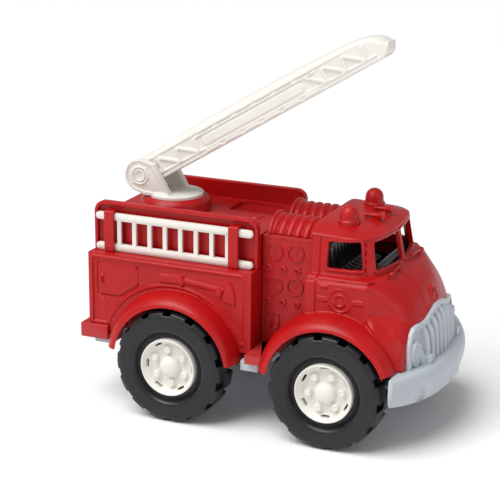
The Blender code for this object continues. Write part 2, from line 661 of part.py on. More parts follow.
def tyre_profile():
    """Half-section of a tyre, by radius and distance from the centre line."""
    outer, inner = TYRE_OUT_Y, TYRE_IN_Y
    tread = AXLE_Z / math.cos(math.pi / WHEEL_SEGMENTS)
    return [(tread, inner + 3.0), (38.0, inner), (36.0, inner), (36.0, outer - 5.0), (28.0, outer - 6.0),
            (28.0, inner), (24.5, inner), (RIM_RADIUS + GAP, inner + 2.0), (RIM_RADIUS + GAP, outer - 8.0),
            (22.4, outer - 7.0), (25.6, outer - 1.0), (27.4, outer), (37.6, outer), (39.6, outer - 1.0),
            (tread, outer - 3.5)]


def hub_profile():
    """Half-section of a dished hub with its axle bore."""
    bore = AXLE_RADIUS + GAP
    return [(0, 77.4), (5.4, 76.2), (7.8, 72.6), (14.8, 72.4), (19.0, 77.0), (RIM_RADIUS, 77.0),
            (RIM_RADIUS, 58.0), (18.6, 58.0), (18.6, 70.0), (7.0, 69.6), (7.0, 55.0), (bore, 55.0),
            (bore, AXLE_HALF + GAP), (0, AXLE_HALF + GAP + 0.3)]


# ---------------------------------------------------------------- turntable and boom

def make_turntable():
    """The collar, the swivelling disc with two ears, its retainer and the boom's pin."""
    collar = [(21.8, 10.2), (25.8, 7.0), (25.8, 0), (9.4, 0), (9.4, 2.2), (20.9, 2.2), (20.9, 10.2)]
    turned("turntable_collar", collar, (TURN_X, 0, DECK_Z + GAP), "Z", "red", 32)
    disc = drum((TURN_X, 0, 143.9), 20.4, 9.8, segments=32)
    table = part("turntable", disc, "white")
    combine(table, drum((TURN_X, 0, 134.5), 8.8, 12, segments=24), "UNION")
    combine(table, drum((TURN_X, 0, 131.0), 6.2, 20, segments=24))
    ear = arc((PIVOT_X, PIVOT_Z), EAR_RADIUS, 262, 75, 12)
    foot = [(-81.8, 147.0), (-104.0, 147.0), *ear, (-95.6, 170.6)]
    for _, side in sides():
        low_y, high_y = sorted((side * EAR_Y[0], side * EAR_Y[1]))
        combine(table, slab(foot, low_y, high_y, "Y"), "UNION")
    combine(table, drum((PIVOT_X, 0, PIVOT_Z), 3.3, 60, "Y", 16))
    for _, side in sides():
        combine(table, drum((PIVOT_X, side * 17.0, PIVOT_Z), 5.6, 3.0, "Y", 16))
    moved(table, (TURN_X, 0, DECK_Z))
    pin = part("boom_pin", drum((PIVOT_X, 0, PIVOT_Z), 3.0, 33.4, "Y", 16), "white")
    for _, side in sides():
        combine(pin, drum((PIVOT_X, side * 16.3, PIVOT_Z), 5.3, 0.9, "Y", 16), "UNION")
    ring = drum((TURN_X, 0, 131.6), 12.5, 2.4, segments=24)
    retainer = part("turntable_retainer", ring, "grey")
    combine(retainer, drum((TURN_X, 0, 131.6), 9.1, 10, segments=24))


def boom_top(s):
    """Height of the boom's crown at distance s from the pivot."""
    stations = ((-10.0, 0.5), (-8.0, 6.0), (-4.0, 9.2), (2.0, 10.6), (28.0, 11.8), (60.0, 13.0),
                (110.0, 13.0), (158.0, 12.2), (181.0, 11.1), (199.0, 9.3), (208.0, 6.8), (213.5, 2.2),
                (BOOM_REACH, -4.0))
    for (s0, z0), (s1, z1) in zip(stations, stations[1:]):
        if s <= s1:
            return z0 + (z1 - z0) * (s - s0) / (s1 - s0)
    return stations[-1][1]


def boom_ring(s, inset):
    """One cross-section of the boom: upright sides under a rounded crown."""
    half = BOOM_HALF - inset
    if s > 205:
        half -= (s - 205) ** 2 * 0.02
    top = boom_top(s) - inset
    low = -math.sqrt(max(96.04 - s * s, 0.3)) if s < 0 else BOOM_LOW
    if inset:
        low = -30
    shoulder = max(top - 6.5, low + 0.4)
    ring = [(half, low)]
    for i in range(5):
        a = math.pi / 2 * i / 4
        ring.append((half * math.cos(a) ** 0.8, shoulder + (top - shoulder) * math.sin(a) ** 0.8))
    ring += [(-y, z) for y, z in reversed(ring[:-1])]
    return [(s, y, z) for y, z in ring]


def make_boom():
    """The boom: a long hollow channel, open underneath, hinged at its thick end."""
    stations = (-9.7, -8.0, -5.0, 0.0, 10.0, 28.0, 60.0, 110.0, 158.0, 181.0, 199.0, 208.0, 213.5, BOOM_REACH)
    boom = part("boom", loft([boom_ring(s, 0) for s in stations]), "white")
    inner = (14.0, 60.0, 110.0, 158.0, 181.0, 199.0, 208.0, 211.0)
    combine(boom, loft([boom_ring(s, 2.2) for s in inner]))
    combine(boom, drum((0, 0, 0), 3.35, 60, "Y", 20))
    boom.location = Vector((PIVOT_X, 0, PIVOT_Z)) * MM
    boom.rotation_euler = (0, -BOOM_ANGLE, 0)


make_rear_body()
make_deck()
make_racks()
make_ladders()
make_rear_step()
make_pump_housing()
make_reels()
make_cab()
make_roof_fittings()
make_interior()
make_grille()
make_bumper()
make_chassis()
make_running_gear()
make_turntable()
make_boom()
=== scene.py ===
"""Looks of the toy fire engine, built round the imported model.

Shapes are modelled in millimetres and scaled to metres as each piece is finished. A moulding is cut and
joined with Booleans, then remeshed and smoothed, which gives it the small fillets of moulded plastic.
"""
import json
import math

import bmesh
import bpy
from mathutils import Matrix, Vector


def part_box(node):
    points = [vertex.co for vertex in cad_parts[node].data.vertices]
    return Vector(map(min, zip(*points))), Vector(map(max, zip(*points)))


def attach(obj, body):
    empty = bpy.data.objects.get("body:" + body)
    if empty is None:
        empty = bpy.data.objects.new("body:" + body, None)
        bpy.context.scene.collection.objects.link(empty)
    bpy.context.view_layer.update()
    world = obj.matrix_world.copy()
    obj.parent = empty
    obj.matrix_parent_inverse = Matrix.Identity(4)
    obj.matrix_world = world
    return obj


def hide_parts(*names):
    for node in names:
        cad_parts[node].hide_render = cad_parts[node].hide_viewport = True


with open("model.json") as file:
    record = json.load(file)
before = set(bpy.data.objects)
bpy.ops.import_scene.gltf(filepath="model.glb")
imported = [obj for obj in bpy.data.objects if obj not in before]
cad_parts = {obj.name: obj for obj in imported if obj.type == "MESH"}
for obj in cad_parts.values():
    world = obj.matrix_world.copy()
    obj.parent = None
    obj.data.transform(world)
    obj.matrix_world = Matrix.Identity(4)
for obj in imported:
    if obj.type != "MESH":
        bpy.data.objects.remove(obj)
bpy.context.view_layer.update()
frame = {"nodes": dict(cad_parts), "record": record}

MM = 0.001
SIDES = (("right", -1), ("left", 1))
POINT_R = 0.0002
TINY = 1e-6


def span(node):
    """Lowest and highest corner of a CAD node, in millimetres."""
    low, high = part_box(node)
    return low / MM, high / MM


def middle(node):
    """Centre of a CAD node's box, in millimetres."""
    low, high = span(node)
    return (low + high) / 2


# Places taken from the frame
RACK_LOW, RACK_HIGH = span("rack_right")
BODY_REAR_X, BODY_FRONT_X, RACK_TOP_Z = RACK_LOW.x, RACK_HIGH.x, RACK_HIGH.z
LEDGE_Z = RACK_LOW.z - 0.3
DECK_Z = span("deck")[1].z - 1.2
REAR_AXLE = middle("rear_axle")
FRONT_AXLE = middle("front_axle")
TYRE_IN_Y, TYRE_OUT_Y = (corner.y for corner in span("front_tyre_left"))
TYRE_RADIUS = FRONT_AXLE.z
PUMP_LOW, PUMP_HIGH = span("pump_housing")
PUMP_X = (PUMP_LOW.x, PUMP_HIGH.x)
PUMP_TOP_Z = PUMP_HIGH.z
CAB_REAR_X = PUMP_X[1] + 0.7
COLLAR = middle("turntable_collar")
PIVOT = middle("boom_pin")
BUMPER_X = span("front_bumper")[1].x
BOOM_ANGLE = math.radians(31.4)


# ---- shape helpers

def placed(name, data):
    """A new object in the scene."""
    made = bpy.data.objects.new(name, data)
    bpy.context.scene.collection.objects.link(made)
    return made


def fresh(bm):
    """A millimetre object made from a bmesh."""
    bmesh.ops.remove_doubles(bm, verts=bm.verts, dist=0.0005)
    bmesh.ops.recalc_face_normals(bm, faces=bm.faces)
    if bm.calc_volume(signed=True) < 0:
        bmesh.ops.reverse_faces(bm, faces=bm.faces)
    mesh = bpy.data.meshes.new("shape")
    bm.to_mesh(mesh)
    bm.free()
    return placed("shape", mesh)


def modified(made, kind, **settings):
    """Give a shape a modifier with these settings."""
    modifier = made.modifiers.new(kind.lower(), kind)
    for key, value in settings.items():
        setattr(modifier, key, value)


def applied(made):
    """Apply an object's modifiers to its mesh."""
    graph = bpy.context.evaluated_depsgraph_get()
    mesh = bpy.data.meshes.new_from_object(made.evaluated_get(graph))
    old = made.data
    made.modifiers.clear()
    made.data = mesh
    bpy.data.meshes.remove(old)
    return made


def boolean(target, operation, tools):
    """Join, cut or intersect a shape with each tool in turn."""
    made = [tool if isinstance(tool, bpy.types.Object) else fresh(tool) for tool in tools]
    for tool in made:
        modified(target, "BOOLEAN", operation=operation, solver="EXACT", object=tool)
    applied(target)
    for tool in made:
        bpy.data.objects.remove(tool)
    return target


def fuse(target, *tools):
    """Join solids to a shape."""
    return boolean(target, "UNION", tools)


def carve(target, *tools):
    """Cut solids out of a shape."""
    return boolean(target, "DIFFERENCE", tools)


def meet(target, *tools):
    """Keep what a shape shares with the tools."""
    return boolean(target, "INTERSECT", tools)


def together(*tools):
    """Several bmeshes as one, without joining their volumes."""
    bm = bmesh.new()
    for tool in tools:
        mesh = bpy.data.meshes.new("part")
        bmesh.ops.recalc_face_normals(tool, faces=tool.faces)
        tool.to_mesh(mesh)
        tool.free()
        bm.from_mesh(mesh)
        bpy.data.meshes.remove(mesh)
    return bm


def overlay(target, bm):
    """Add solids that overlap a shape; the remesh that follows unites them."""
    extra = fresh(bm)
    joined = bmesh.new()
    joined.from_mesh(target.data)
    joined.from_mesh(extra.data)
    joined.to_mesh(target.data)
    joined.free()
    bpy.data.objects.remove(extra)
    return target


def soften(made, voxel, rounds, keep):
    """Remesh and smooth a shape so that its edges get small fillets, keeping a share of its faces."""
    modified(made, "REMESH", mode="VOXEL", voxel_size=voxel)
    modified(made, "SMOOTH", factor=0.5, iterations=rounds)
    modified(made, "DECIMATE", ratio=keep)
    return applied(made)


def edged(made, width, segments):
    """Round the edges of a shape with a bevel."""
    modified(made, "BEVEL", width=width, segments=segments, limit_method="ANGLE",
             angle_limit=math.radians(32), use_clamp_overlap=True)
    return applied(made)


def box(low, high):
    """An upright box between two corners."""
    bm = bmesh.new()
    size = [b - a for a, b in zip(low, high)]
    centre = [(a + b) / 2 for a, b in zip(low, high)]
    bmesh.ops.create_cube(bm, size=1, matrix=Matrix.Translation(centre) @ Matrix.Diagonal((*size, 1)))
    return bm


def turn_to(axis):
    """The matrix that turns +Z to an axis."""
    return {"X": Matrix.Rotation(math.pi / 2, 4, "Y"), "-X": Matrix.Rotation(-math.pi / 2, 4, "Y"),
            "Y": Matrix.Rotation(-math.pi / 2, 4, "X"), "-Y": Matrix.Rotation(math.pi / 2, 4, "X"),
            "Z": Matrix.Identity(4), "-Z": Matrix.Rotation(math.pi, 4, "X")}[axis]


def outward(side):
    """The axis that points out of the given side."""
    return "Y" if side > 0 else "-Y"


def drum(centre, radius, length, axis="Z", segments=48):
    """A cylinder centred on a point."""
    bm = bmesh.new()
    bmesh.ops.create_cone(bm, cap_ends=True, segments=segments, radius1=radius, radius2=radius, depth=length,
                          matrix=Matrix.Translation(centre) @ turn_to(axis))
    return bm


def ball(centre, radius):
    """A sphere."""
    bm = bmesh.new()
    bmesh.ops.create_uvsphere(bm, u_segments=28, v_segments=16, radius=radius,
                              matrix=Matrix.Translation(centre))
    return bm


def loft(rings, closed=False):
    """A body through rings of equal length, capped at its ends unless it closes on itself."""
    bm = bmesh.new()
    rows = [[bm.verts.new(point) for point in ring] for ring in rings]
    pairs = list(zip(rows, rows[1:])) + ([(rows[-1], rows[0])] if closed else [])
    for first, second in pairs:
        for i in range(len(first)):
            j = (i + 1) % len(first)
            bm.faces.new((first[i], first[j], second[j], second[i]))
    if not closed:
        bm.faces.new(rows[0])
        bm.faces.new(list(reversed(rows[-1])))
    return bm


def lathe(profile, centre, axis, segments=64):
    """A solid turned from a (radius, distance) profile; ends at radius 0 close it, else it is a ring."""
    place = Matrix.Translation(centre) @ turn_to(axis)
    turn = [2 * math.pi * k / segments for k in range(segments)]
    rings = []
    for radius, distance in profile:
        r = max(radius, POINT_R)
        rings.append([place @ Vector((r * math.cos(a), r * math.sin(a), distance)) for a in turn])
    return loft(rings, closed=profile[0][0] > 0)


def boss(profile, x, y, z, side, segments=64):
    """A turned shape standing out of a side face, y from the centre line."""
    return lathe(profile, (x, side * y, z), outward(side), segments)


def slab(points, low, high, axis="Z"):
    """A flat outline extruded along an axis from low to high."""
    order = {"X": (2, 0, 1), "Y": (0, 2, 1), "Z": (0, 1, 2)}[axis]
    return loft([[[(a, b, level)[i] for i in order] for a, b in points] for level in (low, high)])


def side_span(side, near, far):
    """Two distances from the centre line, as rising y values on one side."""
    return sorted((side * near, side * far))


def plate(points, low, high, side):
    """An (x, z) outline standing on a side panel, between two distances from the centre line."""
    return slab(points, *side_span(side, low, high), "Y")


def arc(centre, radius, start, end, steps=8):
    """Points along a circle, angles in degrees."""
    angles = [math.radians(start + (end - start) * i / steps) for i in range(steps + 1)]
    return [(centre[0] + radius * math.cos(a), centre[1] + radius * math.sin(a)) for a in angles]


def around(centre, radius, start, count):
    """Points spaced evenly round a circle, from an angle in degrees."""
    angles = [math.radians(360 * k / count + start) for k in range(count)]
    return [(centre[0] + radius * math.cos(a), centre[1] + radius * math.sin(a)) for a in angles]


def rounded(low, high, radius, steps=6):
    """The outline of a rounded rectangle."""
    (x0, y0), (x1, y1) = low, high
    corners = ((x1 - radius, y1 - radius, 0), (x0 + radius, y1 - radius, 90),
               (x0 + radius, y0 + radius, 180), (x1 - radius, y0 + radius, 270))
    return [p for cx, cy, a in corners for p in arc((cx, cy), radius, a, a + 90, steps)]


def soft_corners(points, radius, steps=4):
    """A polygon with its corners rounded."""
    made = []
    for i, point in enumerate(points):
        here = Vector(point)
        back = Vector(points[i - 1]) - here
        ahead = Vector(points[(i + 1) % len(points)]) - here
        reach = min(radius, back.length * 0.45, ahead.length * 0.45)
        start = here + back.normalized() * reach
        end = here + ahead.normalized() * reach
        for k in range(steps + 1):
            t = k / steps
            made.append(tuple(start * (1 - t) ** 2 + here * 2 * t * (1 - t) + end * t ** 2))
    return made


def tube(points, radius, segments=12, closed=False):
    """A round bar along a path, with flat ends."""
    path = [Vector(p) for p in points]
    rings = []
    up = Vector((0, 0, 1))
    for i, point in enumerate(path):
        before = path[i - 1] if i or closed else point
        after = path[(i + 1) % len(path)] if i + 1 < len(path) or closed else point
        along = (after - before).normalized()
        across = along.cross(up)
        across = across.normalized() if across.length > 0.05 else along.cross(Vector((0, 1, 0))).normalized()
        rise = across.cross(along)
        rings.append([point + across * radius * math.cos(2 * math.pi * k / segments)
                      + rise * radius * math.sin(2 * math.pi * k / segments) for k in range(segments)])
    return loft(rings, closed)


def read_curve(table, at):
    """The second column of a table at a value of its first, along a smooth curve through its rows."""
    if at <= table[0][0]:
        return table[0][1]
    for i in range(len(table) - 1):
        if at <= table[i + 1][0]:
            break
    else:
        return table[-1][1]
    (x1, y1), (x2, y2) = table[i], table[i + 1]
    x0, y0 = table[max(i - 1, 0)]
    x3, y3 = table[min(i + 2, len(table) - 1)]
    width = x2 - x1
    t = (at - x1) / width
    left = (y2 - y0) / max(x2 - x0, TINY) * width
    right = (y3 - y1) / max(x3 - x1, TINY) * width
    return ((2 * t ** 3 - 3 * t ** 2 + 1) * y1 + (t ** 3 - 2 * t ** 2 + t) * left
            + (3 * t ** 2 - 2 * t ** 3) * y2 + (t ** 3 - t ** 2) * right)


def spread(low, high, count):
    """Evenly spaced values from low to high."""
    return [low + (high - low) * i / (count - 1) for i in range(count)]


# ---- materials

PLASTIC_IOR = 1.49
# Strength of the painted highlight on sharp edges
EDGE_HIGHLIGHT = 0.12


def fill(node, **values):
    """Set a node's inputs, whose names have spaces where these have underscores."""
    for key, value in values.items():
        node.inputs[key.replace("_", " ")].default_value = value
    return node


def plastic(name, colour, roughness, tone, grain, flecks=0, coat=0, shine=0.4):
    """A moulded plastic: mottled colour, fine grain, uneven gloss and a painted highlight that lightens its
    edges.
    """
    made = bpy.data.materials.new(name)
    made.use_nodes = True
    nodes, links = made.node_tree.nodes, made.node_tree.links
    shader = fill(nodes["Principled BSDF"], IOR=PLASTIC_IOR, Specular_IOR_Level=shine, Coat_Weight=coat,
                  Coat_Roughness=0.18)
    place = nodes.new("ShaderNodeTexCoord")

    def noise(scale, detail, distortion=0):
        node = fill(nodes.new("ShaderNodeTexNoise"), Scale=scale, Detail=detail, Distortion=distortion)
        links.new(place.outputs["Object"], node.inputs["Vector"])
        return node.outputs["Fac"]

    def ramp(value, low, high, start=0, end=1):
        node = fill(nodes.new("ShaderNodeMapRange"), From_Min=low, From_Max=high, To_Min=start, To_Max=end)
        links.new(value, node.inputs["Value"])
        return node.outputs["Result"]

    def mix(factor, first, second):
        node = nodes.new("ShaderNodeMix")
        node.data_type = "RGBA"
        links.new(factor, node.inputs["Factor"])
        for key, value in (("A", first), ("B", second)):
            socket = [s for s in node.inputs if s.name == key and s.type == "RGBA"][0]
            if isinstance(value, tuple):
                socket.default_value = value
            else:
                links.new(value, socket)
        return [s for s in node.outputs if s.type == "RGBA"][0]

    dark = tuple(c * (1 - tone) for c in colour) + (1,)
    light = tuple(min(c * (1 + tone) + tone * 0.02, 1) for c in colour) + (1,)
    # A lighter colour, for the flecks and for the painted highlight on edges
    fleck_and_edge_highlight = tuple(c + (1 - c) * 0.22 for c in colour) + (1,)
    blotch = ramp(noise(38, 5, 0.6), 0.3, 0.7)
    shade = mix(blotch, dark, light)
    if flecks:
        speck = ramp(noise(1500, 2), 0.66, 0.74, 0, flecks)
        shade = mix(speck, shade, fleck_and_edge_highlight)
    geometry = nodes.new("ShaderNodeNewGeometry")
    # Painted highlight: sharp edges, found by pointiness, are lightened
    edge = ramp(geometry.outputs["Pointiness"], 0.55, 0.64, 0, EDGE_HIGHLIGHT)
    shade = mix(edge, shade, fleck_and_edge_highlight)
    links.new(shade, shader.inputs["Base Color"])
    gloss = ramp(noise(120, 6), 0.25, 0.75, roughness * 0.86, roughness * 1.16)
    links.new(gloss, shader.inputs["Roughness"])
    fine = nodes.new("ShaderNodeMath")
    fine.operation = "ADD"
    links.new(noise(2200, 3), fine.inputs[0])
    links.new(ramp(noise(260, 2), 0, 1, 0, 1.6), fine.inputs[1])
    bump = fill(nodes.new("ShaderNodeBump"), Strength=grain, Distance=0.0004)
    links.new(fine.outputs[0], bump.inputs["Height"])
    links.new(bump.outputs["Normal"], shader.inputs["Normal"])
    return made


RED = plastic("moulded_red", (0.43, 0.003, 0.004), 0.36, tone=0.08, grain=0.16, flecks=0.05, shine=0.35)
WHITE = plastic("moulded_off_white", (0.77, 0.745, 0.69), 0.40, tone=0.025, grain=0.10)
GREY = plastic("moulded_grey", (0.46, 0.50, 0.54), 0.40, tone=0.04, grain=0.10)
BLACK = plastic("moulded_black", (0.010, 0.010, 0.012), 0.22, tone=0.2, grain=0.06, coat=0.3)
CHARCOAL = plastic("moulded_charcoal", (0.010, 0.010, 0.013), 0.36, tone=0.15, grain=0.22)
SLOTS = {"red_plastic": RED, "white_plastic": WHITE, "grey_plastic": GREY, "black_plastic": BLACK,
         "charcoal_plastic": CHARCOAL}


def piece(made, name, body, slot, *nodes, smooth_angle=40):
    """Finish a millimetre shape: name it, scale it, paint it and put it on its body in place of CAD nodes."""
    made.name = name
    made.data.name = name
    made.data.transform(Matrix.Diagonal((MM, MM, MM, 1)) @ made.matrix_world)
    made.matrix_world = Matrix.Identity(4)
    made.data.shade_smooth()
    made.data.set_sharp_from_angle(angle=math.radians(smooth_angle))
    made.data.materials.clear()
    made.data.materials.append(SLOTS[slot])
    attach(made, body)
    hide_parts(*nodes)
    return made


# ---- fenders

FENDER_ROOT_Y = 58
FENDER_LIP_Y = 75.6
FENDER_LIP_R = 44
FENDER_ROOT_R = 51.6
FENDER_SHIFT = 2.3
ARCH_SHELL = 2.4
ARCH_LOW_Z = 47.3
ARCH_STEPS = 12
ARCH_SEGMENTS = 96


def fender(axle, side, inset, from_y, stop=1):
    """A flared wheel arch: a quarter ellipse from the body side down to the lip."""
    rings = []
    for i in range(-1, ARCH_STEPS + 1):
        angle = math.pi / 2 * max(i, 0) / ARCH_STEPS * stop
        share = math.cos(angle)
        y = from_y if i < 0 else FENDER_ROOT_Y + (FENDER_LIP_Y - FENDER_ROOT_Y) * math.sin(angle)
        radius = FENDER_LIP_R + (FENDER_ROOT_R - FENDER_LIP_R) * share - inset
        centre = (axle.x - FENDER_SHIFT * share, axle.z)
        ring = arc(centre, radius, 0, 360 * (1 - 1 / ARCH_SEGMENTS), ARCH_SEGMENTS - 1)
        rings.append([(a, side * y, b) for a, b in ring])
    return loft(rings)


def add_fenders(body, axle, from_y):
    """Join two fenders to a body and open the wheel arches."""
    fuse(body, *[fender(axle, side, 0, from_y) for _, side in SIDES])
    for _, side in SIDES:
        carve(body, fender(axle, side, ARCH_SHELL, from_y - 3, 0.85),
              drum((axle.x, side * 74, axle.z), FENDER_LIP_R - 0.6, 16, "Y", ARCH_SEGMENTS))
    carve(body, box((axle.x - 70, -90, -30), (axle.x + 70, 90, ARCH_LOW_Z)))


# ---- rear body

SIDE_Y = 58
UPPER_Y = 42
BODY_LOW_Z = 53.5
PANEL_RISE = 0.7
CAP_X, CAP_Z = -117, 74.2


def panel_outline(grow):
    """The recessed side panel: straight at its top and ends, and arched over the fender."""
    left, right, top, low = -124 - grow, -5.2 + grow, 108.6 + grow, 60.6 - grow
    centre, radius = (-60, 38.5), 57.6 - grow
    start = math.degrees(math.asin((low - centre[1]) / radius))
    points = arc((right - 3.8, top - 3.8), 3.8, 0, 90, 6)
    points += arc((left + 1.2, top - 1.2), 1.2, 90, 180, 3)
    points += [(left, low)]
    points += arc(centre, radius, 180 - start, start, 40)
    points += [(right, low)]
    return points


def axe_relief(side, base):
    """A fire axe held by two clips, standing on the side panel."""
    handle = [(-71, 102.8), (-55.6, 103), (-51.5, 101.8), (-25.9, 98.7), (-20.6, 98), (-21.8, 94.6),
              (-26.1, 96.3), (-51.2, 98.4), (-55.2, 97.4), (-70.6, 97)]
    edge = [(-17.2, 104.4), (-14.4, 101.6), (-12.7, 98), (-11.9, 93.5), (-11.6, 87.8)]
    head = edge + [(-21.4, 89.4), (-20.9, 94), (-19.4, 98.8), (-18.6, 99.9)]
    return together(plate(soft_corners(handle, 0.8), base - 1, base + 1.3, side),
                    plate(soft_corners(head, 0.7), base - 1, base + 1.5, side),
                    plate(rounded((-54.1, 96.6), (-51.4, 104), 1.2), base - 1, base + 2.1, side),
                    plate(rounded((-26.3, 92), (-22.1, 99), 2), base - 1, base + 2.1, side))


def side_relief(body, side):
    """Border, compartment door, filler cap and axe on one side of the rear body."""
    field = SIDE_Y - PANEL_RISE
    fuse(body, plate(panel_outline(1.9), SIDE_Y - 3, SIDE_Y + PANEL_RISE, side))
    carve(body, plate(panel_outline(0), field, SIDE_Y + 3, side))
    door = [(-119.9, 105.1), (-89.2, 105.1), (-88, 103.5), (-88, 92), (-103.2, 81.9), (-120, 81.9)]
    groove = [(x + (1 if x > -100 else -1 if x < -110 else 0.4), z + (1 if z > 95 else -1.1))
              for x, z in door]
    carve(body, plate(soft_corners(groove, 1.6), field - 1, SIDE_Y + 3, side),
          drum((CAP_X, side * SIDE_Y, CAP_Z), 5.1, 2.3, "Y"))
    overlay(body, together(
        plate(soft_corners(door, 1.4), field - 2, field + 0.3, side),
        drum((CAP_X, side * (field - 0.9), CAP_Z), 4.4, 2.6, "Y"),
        boss([(2.9, 0), (2.9, 1.9), (2.2, 1.9), (2.2, 0)], CAP_X, field - 1, CAP_Z, side),
        plate(rounded((-118.5, 90.6), (-115.2, 96.4), 0.5), field - 1, field + 1.3, side),
        axe_relief(side, field)))
    carve(body, *[plate(rounded((-117.7, z), (-116, z + 1.8), 0.3), field + 0.1, field + 3, side)
                  for z in (91.4, 93.9)])


def rear_relief(body):
    """A bordered panel with hinged doors and two round lamps on each side of the tail."""
    x = BODY_REAR_X
    fuse(body, slab(rounded((-54.5, 62), (54.5, 109.6), 3), x - 0.5, x + 3, "X"))
    carve(body, slab(rounded((-52.6, 63.9), (52.6, 107.7), 2), x - 3, x + 0.5, "X"))
    for _, side in SIDES:
        inner, outer = side_span(side, 1.4, 36)
        carve(body, slab(rounded((inner, 67.5), (outer, 104), 1.6), x - 3, x + 1, "X"))
        hinges = [tube([(x - 0.1, side * 36, z - 2.4), (x - 0.1, side * 36, z + 2.4)], 0.9)
                  for z in (74, 97)]
        overlay(body, together(
            slab(rounded((inner + 0.7, 68.2), (outer - 0.7, 103.3), 1.4), x + 0.3, x + 4, "X"),
            lathe([(0, 4), (4.6, 4), (4.6, -0.6), (3.6, -1.4), (0, -1.6)], (x, side * 44.3, 92), "X"),
            lathe([(0, 4), (3.2, 4), (3.2, -0.2), (2.6, -0.9), (0, -1)], (x, side * 44.3, 78), "X"),
            slab(rounded((side * 6 - 1.1, 82), (side * 6 + 1.1, 90), 1), x - 1, x + 2, "X"),
            *hinges))


def make_rear_body():
    """The rear body moulding, with its fenders and reliefs."""
    body = fresh(box((BODY_REAR_X, -SIDE_Y, BODY_LOW_Z), (BODY_FRONT_X, SIDE_Y, LEDGE_Z)))
    fuse(body, box((BODY_REAR_X + 0.5, -UPPER_Y, LEDGE_Z - 8), (BODY_FRONT_X - 0.5, UPPER_Y, DECK_Z - 2.8)))
    add_fenders(body, REAR_AXLE, 46)
    carve(body, box((BODY_REAR_X - 9, -70, 0), (-111.2, 70, 58.8)))
    for _, side in SIDES:
        side_relief(body, side)
    rear_relief(body)
    soften(body, 0.42, 3, 0.2)
    piece(body, "rear_body_moulding", "truck", "red_plastic", "rear_body")


# ---- deck and racks

def make_deck():
    """The deck with its trays, cap and seam."""
    deck = fresh(box((BODY_REAR_X + 0.5, -UPPER_Y, DECK_Z - 2.5), (BODY_FRONT_X - 0.5, UPPER_Y, DECK_Z)))
    for _, side in SIDES:
        near, far = side_span(side, 9.6, 39.6)
        fuse(deck, box((-50, near, 121.6), (-10.5, far, DECK_Z - 1)))
    for _, side in SIDES:
        near, far = side_span(side, 11.2, 38)
        low = rounded((-47.2, near + 1.4), (-13.3, far - 1.4), 2)
        high = rounded((-48.6, near), (-11.9, far), 2.4)
        levels = ((low, 123.6), (high, DECK_Z), (high, 150))
        carve(deck, loft([[(x, y, z) for x, y in ring] for ring, z in levels]))
    carve(deck, box((-55.5, -50, DECK_Z - 0.6), (-54.7, 50, DECK_Z + 5)),
          drum((COLLAR.x, 0, DECK_Z), 9.4, 30))
    cap_rim = [(5.4, -1), (5.4, 0.9), (4.9, 1.3), (4.2, 1.3), (3.9, 0.8), (3.9, -1)]
    rivet = [(0, 1), (0.9, 0.8), (1.3, 0.2), (1.3, -1), (0, -1)]
    overlay(deck, together(
        lathe(cap_rim, (-21, 0, DECK_Z), "Z"),
        drum((-21, 0, DECK_Z), 4.2, 1),
        box((-23.6, -0.6, DECK_Z), (-18.4, 0.6, DECK_Z + 1.1)),
        *[lathe(rivet, (-60, side * 38.5, DECK_Z), "Z", 24) for _, side in SIDES]))
    soften(deck, 0.5, 3, 0.3)
    piece(deck, "deck_moulding", "truck", "red_plastic", "deck")


def rack_outline(reach, radius, edge, foot_z):
    """A rack panel with round upper corners, drawn in from the body's ends by edge."""
    return [*arc((BODY_FRONT_X - reach, RACK_TOP_Z - reach), radius, 0, 90),
            *arc((BODY_REAR_X + reach, RACK_TOP_Z - reach), radius, 90, 180),
            (BODY_REAR_X + edge, foot_z), (BODY_FRONT_X - edge, foot_z)]


def make_racks():
    """The rack panels that close the deck's sides and carry the ladders."""
    strap = [(43.2, 140.7), (50.6, 140.7), (50.6, LEDGE_Z + 0.3), (52.6, LEDGE_Z + 0.3),
             *arc((51.2, 141.2), 1.4, 0, 90, 5), (43.2, 142.6)]
    for name, side in SIDES:
        rack = fresh(plate(rack_outline(8, 8, 0, LEDGE_Z + 0.3), UPPER_Y + 0.3, 47.3, side))
        carve(rack, plate(rack_outline(8.2, 5.7, 2.5, LEDGE_Z + 1.2), 44.2, 50, side))
        overlay(rack, together(*[slab([(side * y, z) for y, z in strap], x - 3.8, x + 3.8, "X")
                                 for x in (-113.6, -16.1)]))
        soften(rack, 0.42, 3, 0.3)
        piece(rack, f"rack_panel_{name}", "truck", "red_plastic", f"rack_{name}")


LADDER_RAIL = 5.4
RUNGS = 8
RUNG_PITCH = 12.15
FIRST_RUNG_X = -106.7


def make_ladders():
    """The side ladders: two rails with a raised flange, and the rungs between them."""
    for name, side in SIDES:
        low, high = span(f"ladder_{name}")
        near, far = sorted((abs(low.y), abs(high.y)))
        solids = []
        for z in (low.z, high.z - LADDER_RAIL):
            for end, trim, foot, face in ((0, 0, 0, 0.5), (0.9, 1.1, 0.5, 0)):
                radius = LADDER_RAIL / 2 - (1.15 if trim else 0.01)
                outline = rounded((low.x + end, z + trim), (high.x - end, z + LADDER_RAIL - trim), radius, 8)
                solids.append(plate(outline, near + foot, far - face, side))
        for i in range(RUNGS):
            x = FIRST_RUNG_X + RUNG_PITCH * i
            rung = [(x - 1.5, low.z + 3), (x + 1.5, low.z + 3), (x + 1.5, high.z - 3), (x - 1.5, high.z - 3)]
            solids.append(plate(rung, near + 0.2, far - 0.4, side))
        ladder = fresh(solids[0])
        fuse(ladder, *solids[1:])
        edged(ladder, 0.28, 2)
        piece(ladder, f"side_ladder_moulding_{name}", f"side_ladder_{name}", "white_plastic",
              f"ladder_{name}")


